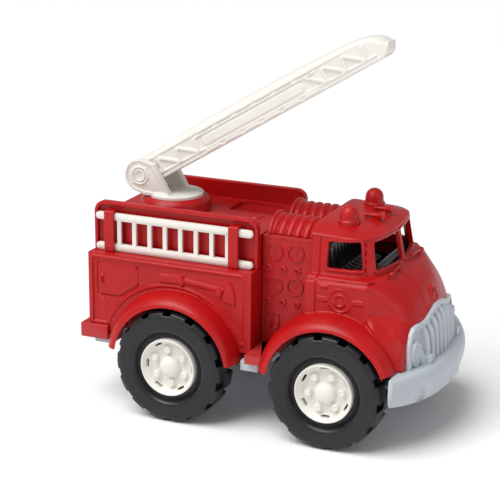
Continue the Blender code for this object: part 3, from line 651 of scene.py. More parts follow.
def make_tailboard():
    """The tailboard with its non-slip ribs."""
    low, high = span("rear_step")
    step = fresh(box(low, high))
    carve(step, box((low.x + 4, low.y + 4, low.z - 5), (high.x + 9, high.y - 4, high.z - 2.6)))
    edged(step, 0.6, 3)
    ribs = [box((low.x + 1.2, y - 0.5, high.z - 0.4), (low.x + 4.6, y + 0.5, high.z + 0.35))
            for y in spread(-56, 56, 29)]
    overlay(step, together(*ribs))
    piece(step, "tailboard", "truck", "red_plastic", "rear_step")


# ---- pump housing

GAUGE_R = 6.4
PUMP_HALF = 38.5


def gauge(x, z, side, base):
    """A round dial: a ring, a rim of marks, a needle and its hub."""
    r = GAUGE_R
    rim = [(r, -1), (r, 0.5), (r - 0.35, 0.95), (r - 0.85, 0.95), (r - 1.2, 0.5), (r - 1.2, -1)]
    hub = [(0, -1), (0, 0.75), (0.4, 0.75), (1, 0.5), (1, -1)]
    solids = [boss(rim, x, base, z, side, 40), boss(hub, x, base, z, side, 16)]
    marks, needle = side * (base + 0.05), side * (base + 0.1)
    for k in range(9):
        a = math.radians(-30 + 240 * k / 8)
        c, s = math.cos(a), math.sin(a)
        solids.append(tube([(x + c * reach, marks, z + s * reach) for reach in (3.7, 4.8)], 0.22, 6))
    solids.append(tube([(x - 0.6, needle, z - 0.9), (x + 1.9, needle, z + 3.1)], 0.3, 6))
    return solids


def make_pump_housing():
    """The pump panel between rear body and cab, with gauges, outlets and handles."""
    half = PUMP_HALF
    housing = fresh(box((PUMP_X[0], -half, PUMP_LOW.z), (PUMP_X[1], half, PUMP_TOP_Z)))
    fuse(housing, box((PUMP_X[0], -PUMP_HIGH.y, PUMP_LOW.z), (13.6, PUMP_HIGH.y, 57)))
    carve(housing, *[fender(FRONT_AXLE, side, -0.3, half + 0.3) for _, side in SIDES])
    edged(housing, 0.5, 2)
    outlet = [(2.6, -1), (2.6, 0.7), (2.1, 1.1), (1.5, 1.1), (1.15, 0.5), (1.15, -1)]
    pull = [(0, 1), (0.8, 0.8), (1, -0.5), (0, -0.5)]
    rivet = [(0, 0.5), (0.45, 0.4), (0.65, -0.2), (0, -0.2)]
    for _, side in SIDES:
        border = rounded((PUMP_X[0] + 0.6, 96), (PUMP_X[1] - 0.6, PUMP_TOP_Z - 0.7), 1)
        field = rounded((PUMP_X[0] + 1.5, 58), (PUMP_X[1] - 1.5, PUMP_TOP_Z - 1.7), 1)
        fuse(housing, plate(border, half - 1, half + 0.35, side))
        carve(housing, plate(field, half, half + 2, side))
        solids = []
        for x, z in ((9.8, 124.3), (25.5, 124.8), (9.8, 100), (25.5, 100.5)):
            solids += gauge(x, z, side, half)
        solids += [boss(outlet, x, half, z, side, 28) for z in (112.4, 88) for x in (5.4, 16.3, 27)]
        for x in (5.4, 11.2):
            ring = rounded((x - 2.35, 68.2), (x + 2.35, 80), 2.2)
            solids.append(tube([(a, side * (half + 0.1), b) for a, b in ring], 0.65, 8, True))
            solids.append(boss(pull, x, half, 71.4, side, 16))
        solids += [boss(rivet, x, half, z, side, 12) for x in (3, 32.5) for z in (130.6, 106.3, 84)]
        overlay(housing, together(*solids))
    piece(housing, "pump_housing_moulding", "truck", "red_plastic", "pump_housing", smooth_angle=50)


def make_reels():
    """Hose reels: an end flange and a hose wound in a helix; the left one mirrors the right one."""
    pitch, wound, core, rim, turn_steps = 6.2, 3.05, 15.1, 19.7, 72
    start = 5.2
    low, high = span("hose_reel_right")
    centre_y, centre_z = (low.y + high.y) / 2, high.z - rim
    reel = fresh(lathe([(0, 2.4), (18.9, 2.4), (rim, 3.2), (rim, 4.7), (18.9, 5.5), (0, 5.5)],
                       (0, centre_y, centre_z), "X", turn_steps))
    rings = []
    for x in spread(start, PUMP_X[1] - 0.4, 150):
        ring = []
        for k in range(turn_steps):
            a = 2 * math.pi * k / turn_steps
            phase = ((x - start + pitch * k / turn_steps) / pitch) % 1 - 0.5
            r = core + wound * math.sqrt(max(1 - (2 * phase) ** 2, 0))
            ring.append((x, centre_y + math.cos(a) * r, centre_z + math.sin(a) * r))
        rings.append(ring)
    fuse(reel, loft(rings))
    carve(reel, box((-9, -60, 0), (60, 60, PUMP_TOP_Z + 0.3)))
    soften(reel, 0.42, 2, 0.4)
    for name, made in (("right", reel), ("left", mirrored(reel))):
        piece(made, f"wound_hose_{name}", "truck", "red_plastic", f"hose_reel_{name}", smooth_angle=60)


# ---- cab

# Hood sections, half of the symmetric shape: x, then (y, z) of the fender valley, the ridge, the cheek
# crease, the side, the shoulder, the crown and the centre panel's edge, then the height of the middle
HOOD = ((84, 56.5, 89, 56, 93.5, 56, 95, 56, 105, 55.4, 113, 47, 117.2, 17, 117.6, 117.8),
        (90, 60, 86, 54.6, 90.5, 52.8, 93.2, 53, 103.5, 50.5, 111.6, 40, 116, 17, 116.6, 117),
        (95, 60.3, 82.5, 54, 87.5, 50.2, 93, 50, 101, 46, 108.8, 35, 113.3, 17, 114.6, 115.2),
        (100, 60, 78, 54, 83.5, 47.8, 92.2, 46.8, 98, 42.2, 104.8, 32, 109.8, 17, 112.3, 113.1),
        (105, 59.2, 73, 54, 80.4, 45, 90.6, 43.4, 95, 38.6, 100.6, 29, 105.4, 17, 108.9, 109.9),
        (109, 59, 66.5, 53.5, 76, 42, 88.2, 39.8, 91.8, 34.8, 96.4, 26, 101, 17, 104.8, 106.2),
        (112, 58.5, 58, 52.6, 71.5, 38.5, 85.4, 36, 88, 31.6, 91.2, 24, 95, 17, 98.4, 100.8),
        (114.5, 57.5, 56, 51.6, 66, 34.6, 83, 31.6, 84.8, 27, 87.2, 21.5, 90, 17, 92, 94.6),
        (116.5, 57, 55, 50.8, 62, 30.5, 81, 27, 82.4, 23, 84.4, 19, 86.6, 17, 87.6, 90.4))
PANEL_STEP = 0.5
WALL = 2.2


def smooth_curve(points, steps):
    """A rounded curve through points of any size, with the given steps in each span."""
    result = []
    last = len(points) - 1
    for i in range(last):
        four = (points[max(i - 1, 0)], points[i], points[i + 1], points[min(i + 2, last)])
        for k in range(steps):
            t = k / steps
            result.append(tuple(
                q + 0.5 * t * (r - p + t * (2 * p - 5 * q + 4 * r - s + t * (3 * q - p - 3 * r + s)))
                for p, q, r, s in zip(*four)))
    result.append(tuple(points[-1]))
    return result


def drawn_in(points, inset):
    """Half an outline, listed upwards and towards the middle, moved inwards by inset."""
    result = []
    for i, (y, z) in enumerate(points):
        before, after = points[max(i - 1, 0)], points[min(i + 1, len(points) - 1)]
        dy, dz = after[0] - before[0], after[1] - before[1]
        length = math.hypot(dy, dz)
        result.append((max(y - inset * dz / length, 0), z + inset * dy / length))
    return result


def hood_ring(row, low, inset):
    """One section: valley, ridge and cheek crease, then a rounded side up to the raised centre panel."""
    x, *flat, top = row
    corners = list(zip(flat[0::2], flat[1::2]))
    half = [(corners[0][0], low), (corners[0][0], (low + corners[0][1]) / 2), *corners[:2]]
    half += smooth_curve(corners[2:], 2 if inset > 1 else 5)
    step = 0 if inset > 1 else PANEL_STEP
    edge_y, edge_z = corners[-1]
    for share in (0.96, 0.7, 0.4):
        half.append((edge_y * share, edge_z + step + (top - edge_z) * (1 - share ** 2)))
    half = drawn_in(half, inset) + [(0, top + step - inset)]
    half += [(-y, z) for y, z in reversed(half[:-1])]
    return [(x, y, z) for y, z in half]


def hood_body(inset):
    """The lower body and hood as one loft, ending behind the grille."""
    low = 20 if inset > 0 else 52
    rows = [(x, *HOOD[0][1:]) for x in (CAB_REAR_X, 62)] + smooth_curve(HOOD, 4)
    rings = []
    for row in rows:
        x = max(row[0], CAB_REAR_X + inset) if row[0] < 60 else row[0] - inset
        rings.append(hood_ring((x, *row[1:]), low, inset))
    centre = (low + HOOD[-1][-1]) / 2
    for share in (0.7, 0.35, 0.02):
        rings.append([(x + 0.2 * (1 - share), y * share, centre + (z - centre) * share)
                      for x, y, z in rings[len(rows) - 1]])
    return loft(rings)


# Greenhouse levels: half width, rear x, front x at the corners, bow of the windshield, height
GLASS = ((49.2, 40.2, 82.8, 8, 112), (49, 40.2, 82.6, 8, 120), (46.8, 40, 79.4, 7.1, 141),
         (46.8, 40, 79.4, 7.1, 142))
RAIL = (47.4, 38.8, 80.2, 6.4)
FRONT_CORNER = 14
REAR_CORNER = 2.4
# Roof dome: scale of the rail outline about the roof's centre, height and rearward rise per millimetre
ROOF = ((1, 142.5, 0), (1, 143.4, 0.01), (0.985, 143.9, 0.02), (0.96, 144.3, 0.03), (0.9, 145.2, 0.04),
        (0.8, 146.6, 0.05), (0.7, 147.6, 0.05), (0.58, 148.3, 0.05), (0.4, 148.9, 0.045), (0.2, 149.2, 0.045),
        (0.03, 149.3, 0.045))
ROOF_CENTRE_X = 62
ROOF_REAR_SHARE = 0.15


def glass_ring(half, rear, front, bulge, inset):
    """One level of the greenhouse: wide front corners, tight rear corners and a bowed front edge."""
    half, rear, front = half - inset, rear + inset, front - inset
    wide, tight = FRONT_CORNER - inset, max(REAR_CORNER - inset, 0.8)
    outline = [(front, (half - wide) * share / 8) for share in range(8)]
    outline += arc((front - wide, half - wide), wide, 0, 90, 12)
    outline += [(front - wide + (rear + tight - front + wide) * k / 8, half) for k in range(1, 8)]
    outline += arc((rear + tight, half - tight), tight, 90, 180, 5)
    outline += [(x, -y) for x, y in reversed(outline[1:])]
    bowed = []
    for x, y in outline:
        reach = (x - rear) / (front - rear)
        bowed.append((x + bulge * (1 - (y / half) ** 2) * reach ** 3, y))
    return bowed


def glass_body(inset):
    """The greenhouse and domed roof as one loft."""
    rings = []
    for half, rear, front, bulge, height in GLASS:
        if inset > 0:
            height = 90 if height < 115 else height - (inset if height > 130 else 0)
        rings.append([(x, y, height) for x, y in glass_ring(half, rear, front, bulge, inset)])
    rail = glass_ring(*RAIL, inset)
    for scale, height, rise in ROOF:
        back = scale if scale < 0.1 else 1 - (1 - scale) * ROOF_REAR_SHARE
        ring = []
        for x, y in rail:
            ahead = x - ROOF_CENTRE_X
            x = ROOF_CENTRE_X + ahead * (scale if ahead > 0 else back)
            ring.append((x, y * scale, height - inset + rise * (ROOF_CENTRE_X - x)))
        rings.append(ring)
    return loft(rings)


def shell(inset):
    """Hood and greenhouse together, grown or shrunk."""
    return fuse(fresh(hood_body(inset)), glass_body(inset))


def window_outline(grow):
    """The side window in (x, z)."""
    return soft_corners([(52.6 - grow, 121.4 - grow), (77.6 + grow, 121.9 - grow),
                         (74.8 + grow, 141 + grow), (52.8 - grow, 139.6 + grow)], 1.4 + grow)


def pane_outline(side, grow):
    """One half of the windshield in (y, z)."""
    inner, outer = 2.2 - grow, 40 + grow
    points = [(inner, 119.3 - grow), (outer, 120.6 - grow),
              (outer - 2.4, 140.2 + grow), (inner, 139.9 + grow)]
    return soft_corners([(side * y, z) for y, z in points], 1.4 + grow)


def duplicate(made):
    """A copy of a shape with its own mesh."""
    other = made.copy()
    other.data = made.data.copy()
    bpy.context.scene.collection.objects.link(other)
    return other


def mirrored(made):
    """A copy of a shape mirrored about the truck's middle plane."""
    other = duplicate(made)
    other.data.transform(Matrix.Diagonal((1, -1, 1, 1)))
    other.data.flip_normals()
    return other


def skin_cut(prism, core):
    """A cutter that follows the cab's skin: a prism less the shrunk body inside it."""
    return carve(fresh(prism), duplicate(core))


DOOR_Y = 56
MEDALLION = (65, DOOR_Y, 101.4)
# The grille's seat in the cab's nose, and the height of the window frames and depth of the door seams
SEAT_HALF = 62
SEAT_DEPTH = 2.4
FRAME_RISE = 0.9
SEAM_DEPTH = 0.9


def door_details(side):
    """Door handle, a plain round medallion with side bars, and the wiper with its pivots."""
    solids = [boss([(8.6, -1.5), (8.6, 0.5), (8, 0.9), (7.3, 0.5), (7.3, -1.5)], *MEDALLION, side, 56),
              boss([(4.6, -1.5), (4.6, 0.7), (4, 1.1), (3.3, 0.7), (3.3, -1.5)], *MEDALLION, side, 40)]
    for x in (52, 78):
        solids.append(plate(rounded((x - 4, 99.9), (x + 4, 102.9), 1.2), 54.5, 56.7, side))
    solids.append(tube([(50.4, side * 56.5, 110.4), (56.4, side * 56.8, 110.7)], 0.95))
    wiper = [(93.6, side * 33, 117.4), (93.4, side * 24, 118.5), (93, side * 12, 119)]
    return solids + [tube(wiper, 0.9), ball(wiper[0], 1.9), ball(wiper[-1], 1.3)]


def make_cab():
    """The cab moulding: hood, greenhouse, fenders, window frames, seams and mouldings."""
    cab = shell(0)
    seat = [(20, y) for y in spread(-SEAT_HALF, SEAT_HALF, 27)]
    seat += [(-SEAT_DEPTH, y) for y in spread(SEAT_HALF, -SEAT_HALF, 27)]
    carve(cab, loft([[(grille_front(y, z) + depth, y, z) for depth, y in seat]
                     for z in (48, 58, 70, 82, 92, 101)]))
    grown = shell(-FRAME_RISE)
    frames = [plate(window_outline(1.9), 36, 60, side) for _, side in SIDES]
    frames += [slab(pane_outline(side, 1.6), 72, 100, "X") for _, side in SIDES]
    for solid in frames:
        fuse(cab, meet(fresh(solid), duplicate(grown)))
    bpy.data.objects.remove(grown)
    core = shell(SEAM_DEPTH)
    door_rear = [(46.5, 142), (47.5, 142), (47.6, 80), (46.6, 80)]
    door_front = [(77, 142), (77.9, 142), (79.6, 119), (84.3, 112), (84.3, 80), (83.4, 80),
                  (83.4, 112), (78.7, 119)]
    belt = [(38, 113.3), (88, 114.3), (88, 115.3), (38, 114.5)]
    seams = []
    for _, side in SIDES:
        for outline, inner in ((door_rear, 30), (door_front, 30), (belt, 48)):
            seams.append(skin_cut(plate(outline, inner, 62, side), core))
    bpy.data.objects.remove(core)
    carve(cab, *seams)
    carve(cab, hood_body(WALL), glass_body(WALL))
    carve(cab, *[plate(window_outline(0), 30, 70, side) for _, side in SIDES],
          *[slab(pane_outline(side, 0), 68, 105, "X") for _, side in SIDES])
    add_fenders(cab, FRONT_AXLE, 39.1)
    carve(cab, box((103, -90, 0), (140, 90, 58.2)))
    details = [solid for _, side in SIDES for solid in door_details(side)]
    for ring in ([(6.7, -3), (6.7, 0.6), (6.1, 1.2), (5.4, 1.2), (4.9, 0.5), (4.9, -3)],
                 [(2.6, -3), (2.6, 0.6), (1.8, 1), (0, 1), (0, -3)]):
        badge = lathe(ring, (0, 0, 0), "X", 56)
        badge.transform(Matrix.Translation((113.5, 0, 97)) @ Matrix.Rotation(math.radians(-19), 4, "Y")
                        @ Matrix.Diagonal((1, 0.9, 1, 1)))
        details.append(badge)
    overlay(cab, together(*details))
    soften(cab, 0.42, 3, 0.22)
    piece(cab, "cab_moulding", "truck", "red_plastic", "cab_shell")


def make_roof_fittings():
    """Domed beacons and trumpet horns."""
    dome = [(0, 13.1)] + [(6.5 * math.sin(a), 6.6 + 6.5 * math.cos(a)) for a in spread(0.15, math.pi / 2, 12)]
    dome += [(6.7, 3.6), (7.2, 3.2), (7.8, 2.6), (7.85, 0.4), (7.85, -1.6), (0, -1.6)]
    bell = [(0, 12.2), (1.4, 12.2), (2.7, 13), (3.3, 12.9), (3.2, 12.2), (2.4, 10.6), (1.8, 8),
            (1.35, 4), (1.1, 1.4), (1.5, 0.9), (1.5, -0.6), (0, -0.6)]
    for name, _ in SIDES:
        low, high = span(f"beacon_{name}")
        beacon = fresh(lathe(dome, ((low.x + high.x) / 2, (low.y + high.y) / 2, low.z), "Z", 64))
        piece(beacon, f"beacon_dome_{name}", "truck", "red_plastic", f"beacon_{name}")
        low, high = span(f"horn_{name}")
        x, y, z = low.x, (low.y + high.y) / 2, high.z - 3.3
        horn = fresh(lathe(bell, (x, y, z), "X", 40))
        fuse(horn, box((x + 5.2, y - 1.3, z - 4.6), (x + 9.4, y + 1.3, z)))
        edged(horn, 0.2, 2)
        piece(horn, f"air_horn_{name}", "truck", "red_plastic", f"horn_{name}")


PLEAT_PITCH = 6.3
PLEAT_DEPTH = 0.55


def make_interior():
    """The pleated bench seat and the dashboard."""
    low, high = span("bench_seat")
    back_x = 45
    profile = [(back_x, 100), (62.5, 100), (63.5, 103), (63, 107), (60.5, 108.8), (53, 109.6),
               (51, 111.5), (50.2, 120), (49.4, 129), (48.6, 133), (47, 134), (back_x, 133.4)]
    rings = []
    for y in spread(-38, 38, 153):
        pleat = PLEAT_DEPTH * abs(math.sin(math.pi * y / PLEAT_PITCH))
        edge = 1 if abs(y) < 37 else 0.85
        rings.append([(back_x + (x - back_x) * edge + (pleat if x > 46 else 0), y,
                       z + (pleat if z > 106 and x > 51 else 0)) for x, z in profile])
    seat = fresh(loft(rings))
    overlay(seat, box((low.x, low.y, low.z), (high.x, high.y, low.z + 2.5)))
    cheek = soft_corners([(44.6, 100), (65, 100), (65.6, 108), (54.5, 113), (51.5, 134.6),
                          (44.6, 134.6)], 3)
    for _, side in SIDES:
        overlay(seat, plate(cheek, 38, 40.2, side))
    piece(seat, "bench_seat_moulding", "truck", "black_plastic", "bench_seat", smooth_angle=35)
    low, high = span("dashboard")
    top = [(83.8, 100.9), (83.8, 114), (82.6, 116.6), (80, 118.4), (77.4, 118.2), (75.9, 116.8),
           (75.4, 113), (77, 110), (77, 100.9)]
    dash = fresh(loft([[(x, y, z) for x, z in top] for y in spread(low.y, high.y, 5)]))
    edged(dash, 0.7, 3)
    dial = [(3.4, -1), (3.4, 0.6), (2.8, 0.9), (2.4, 0.3), (2.4, -1)]
    overlay(dash, together(*[lathe(dial, (75.7, y, 114), "-X", 32) for y in (-22, -13, 13)]))
    piece(dash, "dashboard_moulding", "truck", "black_plastic", "dashboard")


# ---- grille and bumper

# The grille's outline: half width and height, from its foot up to its middle
GRILLE_EDGE = ((52.6, 54), (52, 58), (51.2, 66), (49.2, 74), (45.6, 80.6), (41, 84.4),
               (36, 85.6), (30, 85.2), (24, 85.9), (18, 88), (12, 90.2), (6, 91.6), (0, 92))
# Distance from the middle and reach of the ribs on each side of the middle one
RIBS = ((7.6, 4.8), (14.8, 4.7), (21.8, 4.6), (28.6, 4.2), (35, 2.6))
LAMP_Y, LAMP_Z = 42.2, 66.2
BOX_LAMP_Y = 31.5


def grille_top(y):
    """Height of the grille's outline over its middle part."""
    rows = [(half, z) for half, z in reversed(GRILLE_EDGE) if z > 83]
    return read_curve(rows, min(abs(y), rows[-1][0] - 0.01))


def grille_front(y, z):
    """X of the grille's face: bowed, and leaning back towards its top."""
    share = max(z - 58, 0) / 28
    return 121.4 - 2.2 * share - (0.0022 + 0.0008 * share) * y * y


def grille_sheet(front, back, shrink, low):
    """A curved plate of the grille's outline between two depths, its edge drawn in by shrink."""
    outline = [(GRILLE_EDGE[0][0], low)] + [(half, z) for half, z in GRILLE_EDGE if z > low]
    half_line = []
    for i, (y, z) in enumerate(outline):
        before, after = outline[max(i - 1, 0)], outline[min(i + 1, len(outline) - 1)]
        along = Vector((after[0] - before[0], after[1] - before[1])).normalized()
        half_line.append((max(y - along.y * shrink, 0), z + along.x * shrink))
    smooth = []
    for (y0, z0), (y1, z1) in zip(half_line, half_line[1:]):
        smooth += [(y0 + (y1 - y0) * k / 3, z0 + (z1 - z0) * k / 3) for k in range(3)]
    smooth.append((0, half_line[-1][1]))
    columns = smooth + [(-y, z) for y, z in reversed(smooth[:-1])]
    bm = bmesh.new()
    layers = []
    for depth in (front, back):
        tops = [bm.verts.new((grille_front(y, z) + depth, y, z)) for y, z in columns]
        rows = [tops]
        for share in (0.75, 0.5, 0.25, 0):
            points = [(y, y * (0.94 + 0.06 * share), low + (z - low) * share) for y, z in columns]
            rows.append([bm.verts.new((grille_front(y, height) + depth, drawn, height))
                         for y, drawn, height in points])
        layers.append(rows)
    for rows in layers:
        for upper, lower in zip(rows, rows[1:]):
            for i in range(len(columns) - 1):
                bm.faces.new((upper[i], upper[i + 1], lower[i + 1], lower[i]))
    front_rows, back_rows = layers
    for a, b in ((front_rows[0], back_rows[0]), (front_rows[-1], back_rows[-1])):
        for i in range(len(columns) - 1):
            bm.faces.new((a[i], a[i + 1], b[i + 1], b[i]))
    for end in (0, -1):
        for (a, b), (c, d) in zip(zip(front_rows, back_rows), list(zip(front_rows, back_rows))[1:]):
            bm.faces.new((a[end], b[end], d[end], c[end]))
    bmesh.ops.dissolve_degenerate(bm, edges=bm.edges, dist=0.0005)
    return bm


def rib(y, reach, width):
    """A grille rib: it leaves the face just under the lip and stands furthest forward at its foot."""
    top = grille_top(y) - (13 if abs(y) > 33 else 2.6)
    rings = []
    for z in spread(55.5, top, 22):
        rise = reach * min(1, math.sqrt(max(top - z, 0) / 7))
        face = grille_front(y, z) - 1.6
        front = face + 0.4 + rise
        r = width / 2
        ring = [(face - 2.5, y - r), (front - r, y - r)]
        ring += [(front - r + r * math.cos(a), y + r * math.sin(a)) for a in spread(-1.35, 1.35, 9)]
        ring += [(front - r, y + r), (face - 2.5, y + r)]
        rings.append([(x, yy, z) for x, yy in ring])
    return loft(rings)


def make_grille():
    """The grille: framing lip, ribs, headlamps and box lamps."""
    grille = fresh(grille_sheet(0, -3.6, 0, 54.5))
    carve(grille, grille_sheet(6, -1.6, 3.3, 50))
    solids = [rib(0, 5, 5)]
    for _, side in SIDES:
        solids += [rib(side * y, reach, 4.2) for y, reach in RIBS]
        centre = (grille_front(LAMP_Y, 66) - 1.6, side * LAMP_Y, LAMP_Z)
        for radius, rise in ((4.7, 2.6), (3.3, 2.2)):
            ring = [(0, -2), (0, rise - 1), (radius - 1.1, rise - 1.2), (radius - 0.9, rise - 0.4),
                    (radius - 0.5, rise), (radius, rise - 0.5), (radius, -2)]
            lamp = lathe(ring, (0, 0, 0), "X", 48)
            lamp.transform(Matrix.Translation(centre) @ Matrix.Rotation(side * 0.22, 4, "Z")
                           @ Matrix.Diagonal((1, 1.15, 1.95, 1)))
            solids.append(lamp)
        solids.append(box((115, side * BOX_LAMP_Y - 3.2, 57), (124.2, side * BOX_LAMP_Y + 3.2, 63.6)))
    overlay(grille, together(*solids))
    soften(grille, 0.4, 2, 0.3)
    piece(grille, "grille_moulding", "truck", "grey_plastic", "grille")


# The bumper: how far its middle stands back from the CAD's front, its bow, and its thickness
BUMPER_GAP = 0.15
BUMPER_BOW = 0.003865
BUMPER_THICK = 15.5
FOG_Y, FOG_Z = 48.5, 40.2


def bumper_front(y):
    """X of the bumper's front face at its widest level."""
    return BUMPER_X - BUMPER_GAP - BUMPER_BOW * y * y


def make_bumper():
    """The deep bumper, with a blank plate and fog-lamp rings."""
    rings = []
    table = ((32, 6.5), (34, 4.6), (42, 1.6), (50, 0), (54.5, 0.6), (57, 2.6), (57.6, 4.2))
    for z in spread(32, 57.6, 24):
        back = read_curve(table, z)
        half = 76 - 0.4 * back
        ys = spread(-half, half, 61)
        lift = 4.6 * max(0, (42 - z) / 10)
        front = [(bumper_front(y) - back, y, z + lift * (abs(y) / half) ** 3) for y in ys]
        rear = [(min(x - 1.5, bumper_front(y) - BUMPER_THICK), y, zz) for x, y, zz in front]
        rings.append(front + list(reversed(rear)))
    bumper = fresh(loft(rings))
    carve(bumper, box((90, -80, 20), (107.6, 80, 70)))
    plate_x = bumper_front(0) - 2
    solids = [slab(rounded((-9, 38.2), (9, 50.6), 1.2), plate_x - 6, plate_x + 0.6, "X"),
              slab(rounded((-7.4, 39.8), (7.4, 49), 1), plate_x - 6, plate_x + 1.3, "X")]
    for _, side in SIDES:
        centre = (bumper_front(FOG_Y) - 2.6, side * FOG_Y, FOG_Z)
        for radius in (5, 2.9):
            ring = lathe([(radius, -1), (radius, 1.5 * 0.6), (radius - 0.5, 1.5), (radius - 0.9, 1.5 * 0.6),
                          (radius - 0.9, -1)], (0, 0, 0), "X", 40)
            ring.transform(Matrix.Translation(centre) @ Matrix.Rotation(side * 0.5, 4, "Z")
                           @ Matrix.Rotation(0.2, 4, "Y"))
            solids.append(ring)
    overlay(bumper, together(*solids))
    soften(bumper, 0.5, 5, 0.25)
    piece(bumper, "bumper_moulding", "truck", "grey_plastic", "front_bumper")


# ---- wheels

LUGS = 14
HUB_HOLES = 6
# How far each axle's wheels stand turned, in radians
WHEEL_TURN = {"front": -0.35, "rear": 0.21}


def tyre_shape():
    """A tyre about the Y axis: a smooth carcass with two staggered rows of tread blocks."""
    out, back = TYRE_OUT_Y, TYRE_IN_Y
    r = TYRE_RADIUS
    carcass = [(r - 3.4, back + 3.2), (r - 4.6, back), (25, back), (21.4, back + 2), (21.4, out - 5),
               (23, out - 5.4), (24.6, out - 4.6), (26.2, out - 1.6), (27.4, out - 0.5), (29, out - 0.1),
               (36.4, out - 0.1), (37.8, out - 0.4), (38.6, out - 1), (38.6, out - 1.8),
               (r - 4.3, out - 2.5), (r - 4.3, out - 6)]
    tyre = fresh(lathe(carcass, (0, 0, 0), "Y", 128))
    blocks = []
    half_pitch = math.pi / LUGS
    reach = half_pitch * 0.66
    for row, (y0, y1) in enumerate(((back + 1.4, back + 13.6), (back + 12.6, out - 0.9))):
        for k in range(LUGS):
            middle_angle = 2 * half_pitch * k + half_pitch * row
            rings = []
            for y, inset in ((y0, 0 if row else 0.9), (y0 + 1, 0), (y1 - 4, 0),
                             (y1 - 1.2, 0.5 * row), (y1, 1.5 * row)):
                angles = spread(middle_angle - reach, middle_angle + reach, 7)
                outer = [((r - inset) * math.cos(a), y, (r - inset) * math.sin(a)) for a in angles]
                inner = [((r - 6) * math.cos(a), y, (r - 6) * math.sin(a)) for a in reversed(angles)]
                rings.append(outer + inner)
            blocks.append(loft(rings))
    overlay(tyre, together(*blocks))
    soften(tyre, 0.5, 2, 0.3)
    # A dark ring behind the hub's slots: painted shade for the hollow seen through them
    overlay(tyre, lathe([(7.3, 62), (18.3, 62), (18.3, 66.5), (7.3, 66.5)], (0, 0, 0), "Y"))
    return tyre


def hub_shape():
    """A dished hub about the Y axis, with slots, wheel nuts and a domed cap."""
    dish = [(0, 56), (7, 56), (7, 69.2), (18.6, 69.6), (18.6, 58), (21, 58), (21, 77),
            (20.6, 77.7), (19.9, 77.6), (19.3, 76.6), (18.7, 75.2), (16.2, 72.2), (14.6, 71.3), (9, 71.4),
            (8, 72.2), (7.5, 73.8), (6.4, 75.6), (4.8, 76.9), (2.6, 77.7), (0, 77.9)]
    hub = fresh(lathe(dish, (0, 0, 0), "Y", 96))
    nut = [(0, 74.6), (0.9, 74.6), (1.2, 75.1), (2, 75.1), (2.5, 74.5), (2.7, 72.8), (3.5, 71), (0, 71)]
    overlay(hub, together(*[lathe(nut, (x, 0, z), "Y", 24) for x, z in around((0, 0), 12.4, 12, HUB_HOLES)]))
    slots = []
    for k in range(HUB_HOLES):
        slot = slab(rounded((-3.2, -0.75), (3.2, 0.75), 0.7, 4), 60, 90, "Y")
        slot.transform(Matrix.Rotation(math.radians(60 * k + 42), 4, "Y") @ Matrix.Translation((0, 0, 17.5)))
        slots.append(slot)
    carve(hub, together(*slots))
    soften(hub, 0.4, 2, 0.35)
    return hub


def make_wheels():
    """Four tyres and hubs, each copied from one shape."""
    tyre, hub = tyre_shape(), hub_shape()
    for axle_name, axle in (("front", FRONT_AXLE), ("rear", REAR_AXLE)):
        for name, side in SIDES:
            for source, label, slot in ((tyre, "tyre", "charcoal_plastic"), (hub, "hub", "white_plastic")):
                made = duplicate(source)
                turn = Matrix.Rotation(WHEEL_TURN[axle_name], 4, "Y")
                flip = Matrix.Identity(4) if side > 0 else Matrix.Rotation(math.pi, 4, "Z")
                made.data.transform(Matrix.Translation((axle.x, 0, axle.z)) @ turn @ flip)
                piece(made, f"{axle_name}_{label}_moulding_{name}", f"{axle_name}_wheels", slot,
                      f"{axle_name}_{label}_{name}")
    for source in (tyre, hub):
        bpy.data.objects.remove(source)


# ---- turntable and boom

EAR_IN_Y = 11.6
EAR_OUT_Y = 16.2


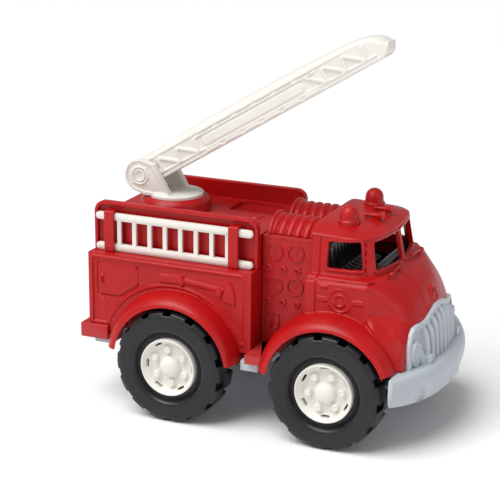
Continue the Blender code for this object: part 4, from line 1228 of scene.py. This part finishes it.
def make_turntable():
    """The collar, and the white turntable with its two ears and hinge pin."""
    x, z = COLLAR.x, DECK_Z
    collar = lathe([(25.8, 0.3), (25.8, 6.4), (25.4, 7.3), (22.6, 10), (21.9, 10.4), (21, 10.2),
                    (21, 2.6), (9.6, 2.6), (9.6, 0.3)], (x, 0, z), "Z", 96)
    piece(fresh(collar), "collar_moulding", "truck", "red_plastic", "turntable_collar")
    table = fresh(lathe([(0, 12.4), (19.6, 12.4), (20.2, 12.1), (20.4, 11.4), (20.4, 3), (8.8, 3),
                         (8.8, -1.4), (0, -1.4)], (x, 0, z), "Z", 96))
    hinge = (PIVOT.x, PIVOT.z)
    ear = [(-81.8, 147), (-104, 147), *arc(hinge, 12, 262, 75, 24), (-95.6, 170.6)]
    inner = [(-84.6, 149.6), (-103, 149.6), *arc(hinge, 10.2, 262, 75, 24), (-97, 168.4)]
    for _, side in SIDES:
        fuse(table, plate(ear, EAR_IN_Y, EAR_OUT_Y, side))
    for _, side in SIDES:
        rim = fresh(plate(ear, 15.6, 17, side))
        carve(rim, plate(inner, 10, 20, side))
        fuse(table, rim)
    bosses = []
    for _, side in SIDES:
        bosses.append(boss([(7, -1), (7, 0.5), (6.5, 0.8), (5.9, 0.8), (5.5, 0.3), (5.5, -1)],
                           PIVOT.x, EAR_OUT_Y, PIVOT.z, side, 48))
        bosses += [boss([(0, 0.6), (0.6, 0.5), (0.9, -0.5), (0, -0.5)], dot_x, EAR_OUT_Y, dot_z, side, 16)
                   for dot_x, dot_z in around(hinge, 8.6, 45, 4)]
    carve(table, *[drum((PIVOT.x, side * 17.2, PIVOT.z), 5, 3, "Y") for _, side in SIDES])
    overlay(table, together(*bosses))
    soften(table, 0.4, 3, 0.35)
    piece(table, "turntable_moulding", "swivel", "white_plastic", "turntable")
    end = [(3.4, 16.4), (4, 16.9), (4.7, 16.6), (4.8, 15.8), (3, 15.4)]
    pin = lathe([(0, 16.4), *end, *[(r, -d) for r, d in reversed(end)], (0, -16.4)], PIVOT, "Y", 48)
    piece(fresh(pin), "hinge_pin", "swivel", "white_plastic", "boom_pin")


BOOM_HALF = 11.2
BOOM_LOW = -9.8
BOOM_TIP = 214.4
BOOM_WALL = 2.2
# Distance from the pin and height of the boom's crown
BOOM_CROWN = ((-10, 0.5), (-8, 6), (-4, 9.2), (2, 10.6), (28, 11.8), (60, 13),
              (110, 13), (158, 12.2), (181, 11.1), (197, 9.4), (205, 7), (210.4, 3.4),
              (213.4, -0.6), (BOOM_TIP, -2.6))


def boom_ring(s, inset):
    """One cross-section of the boom: upright sides under a rounded crown."""
    half = BOOM_HALF - inset - (max(s - 201, 0) ** 2 * 0.02)
    top = read_curve(BOOM_CROWN, s) - inset
    low = -math.sqrt(max(96.04 - s * s, 0.3)) if s < 0 else BOOM_LOW + 0.12 * max(s - 206.5, 0) ** 2
    if inset:
        low = -30
    shoulder = max(top - 6.5, low + 0.4)
    ring = [(half, low)]
    for i in range(13):
        a = math.pi / 2 * i / 12
        ring.append((half * math.cos(a) ** 0.8, shoulder + (top - shoulder) * math.sin(a) ** 0.8))
    ring += [(-y, z) for y, z in reversed(ring[:-1])]
    return [(s, y, z) for y, z in ring]


def bar(start, end, width):
    """The outline of a straight strip between two points."""
    a, b = Vector(start), Vector(end)
    along = (b - a).normalized()
    across = Vector((-along.y, along.x)) * width / 2
    return [tuple(p) for p in (a - across, b - across, b + across, a + across)]


def truss_strips():
    """The lattice on the boom's sides, as start, end, width and rise: rails, uprights and braces."""
    top, low = 4.6, -5.8
    strips = [((4, low), (204, low), 1.2, 0.5), ((52, top), (158, top), 1.2, 0.4)]
    strips += [((s, top), (s, low), 2.2, 0.7) for s in (17, 34, 51, 164, 180.5, 197)]
    bays = ((2, 17), (17, 34), (34, 51), (148, 164), (164, 180.5), (180.5, 197))
    return strips + [((s0 + 0.8, top), (s1 - 0.8, low), 1.8, 0.6) for s0, s1 in bays]


def relief(outline, rise, side):
    """A raised shape on one side of the boom."""
    return plate(outline, BOOM_HALF - 1.6, BOOM_HALF + rise, side)


def make_boom():
    """The boom: a long hollow channel, with a moulded lattice and a plain plaque on its sides."""
    stations = [-9.7, -8.8, -7.5, -6, -4, -2, 0] + spread(3, 198, 60) + spread(199.5, BOOM_TIP, 18)
    boom = fresh(loft([boom_ring(s, 0) for s in stations]))
    carve(boom, loft([boom_ring(s, BOOM_WALL) for s in spread(14, 208.5, 50)]), drum((0, 0, 0), 3.3, 60, "Y"))
    field = soft_corners([(8, 6.6), (201, 6.6), (208, 1), (207.5, -7.4), (5, -7.6)], 2)
    carve(boom, *[plate(field, BOOM_HALF - 0.8, BOOM_HALF + 2, side) for _, side in SIDES])
    for _, side in SIDES:
        solids = [relief(bar(start, end, width), rise, side) for start, end, width, rise in truss_strips()]
        solids += [relief(rounded((s - 6.6, z - 0.6), (s + 6.6, z + 0.6), 0.5, 3), 0.5, side)
                   for s in spread(62, 150, 6) for z in (7.2, -7.9)]
        solids.append(relief(rounded((56, -3.9), (146, 2.7), 3), 0.3, side))
        overlay(boom, together(*solids))
    soften(boom, 0.45, 3, 0.25)
    boom.data.transform(Matrix.Translation(PIVOT) @ Matrix.Rotation(-BOOM_ANGLE, 4, "Y"))
    piece(boom, "boom_moulding", "raised_boom", "white_plastic", "boom")


# ---- carried-over nodes, stage and camera

def paint_carried_over():
    """Give each CAD node that still shows the material of its slot."""
    slots = {row["node"]: row["material_slot"] for row in frame["record"]["subparts"]}
    for name, node in frame["nodes"].items():
        node.data.materials.clear()
        node.data.materials.append(SLOTS[slots[name]])


FLOOR_HALF = 6.0
LIGHT_TARGET = Vector((0, 0, 0.08))
# Name, kind, place, size (an angle for the sun) and power of each light
LIGHTS = (("sky", "SUN", (-0.6, -0.9, 2.2), math.radians(45), 2.5),
          ("key", "AREA", (-1.2, -2.2, 1.8), 1.2, 15),
          ("front", "AREA", (2.2, -0.9, 1), 1, 6))
CAMERA_PLACE = Vector((0.4158, -1.0149, 0.4474))
CAMERA_TARGET = Vector((-0.0259, 0, 0.1104))
CAMERA_ROLL = math.radians(0.485)
CAMERA_LENS = 114.5


def make_stage():
    """A pale floor and soft studio lights."""
    mesh = bpy.data.meshes.new("floor")
    size = FLOOR_HALF
    mesh.from_pydata([(-size, -size, 0), (size, -size, 0), (size, size, 0), (-size, size, 0)], [],
                     [(0, 1, 2, 3)])
    floor = placed("floor", mesh)
    pale = bpy.data.materials.new("pale_floor")
    pale.use_nodes = True
    fill(pale.node_tree.nodes["Principled BSDF"], Base_Color=(0.93, 0.93, 0.94, 1), Roughness=0.9)
    mesh.materials.append(pale)
    world = bpy.data.worlds.new("studio")
    world.use_nodes = True
    fill(world.node_tree.nodes["Background"], Color=(1, 1, 1, 1), Strength=0.36)
    bpy.context.scene.world = world
    for name, kind, place, size, power in LIGHTS:
        data = bpy.data.lights.new(name, kind)
        data.energy = power
        if kind == "SUN":
            data.angle = size
        else:
            data.size = size
        lamp = placed(name, data)
        lamp.location = place
        lamp.rotation_euler = (LIGHT_TARGET - Vector(place)).to_track_quat("-Z", "Y").to_euler()


def make_camera():
    """The camera, off the truck's front right corner and a little above it."""
    data = bpy.data.cameras.new("camera")
    data.lens = CAMERA_LENS
    data.sensor_width = 36
    camera = placed("camera", data)
    camera.location = CAMERA_PLACE
    facing = (CAMERA_TARGET - CAMERA_PLACE).to_track_quat("-Z", "Y").to_matrix().to_4x4()
    camera.rotation_euler = (facing @ Matrix.Rotation(CAMERA_ROLL, 4, "Z")).to_euler()
    bpy.context.scene.camera = camera
    bpy.context.scene.view_settings.view_transform = "Standard"


make_camera()
make_stage()
paint_carried_over()
make_rear_body()
make_deck()
make_racks()
make_ladders()
make_tailboard()
make_pump_housing()
make_reels()
make_cab()
make_roof_fittings()
make_interior()
make_grille()
make_bumper()
make_wheels()
make_turntable()
make_boom()
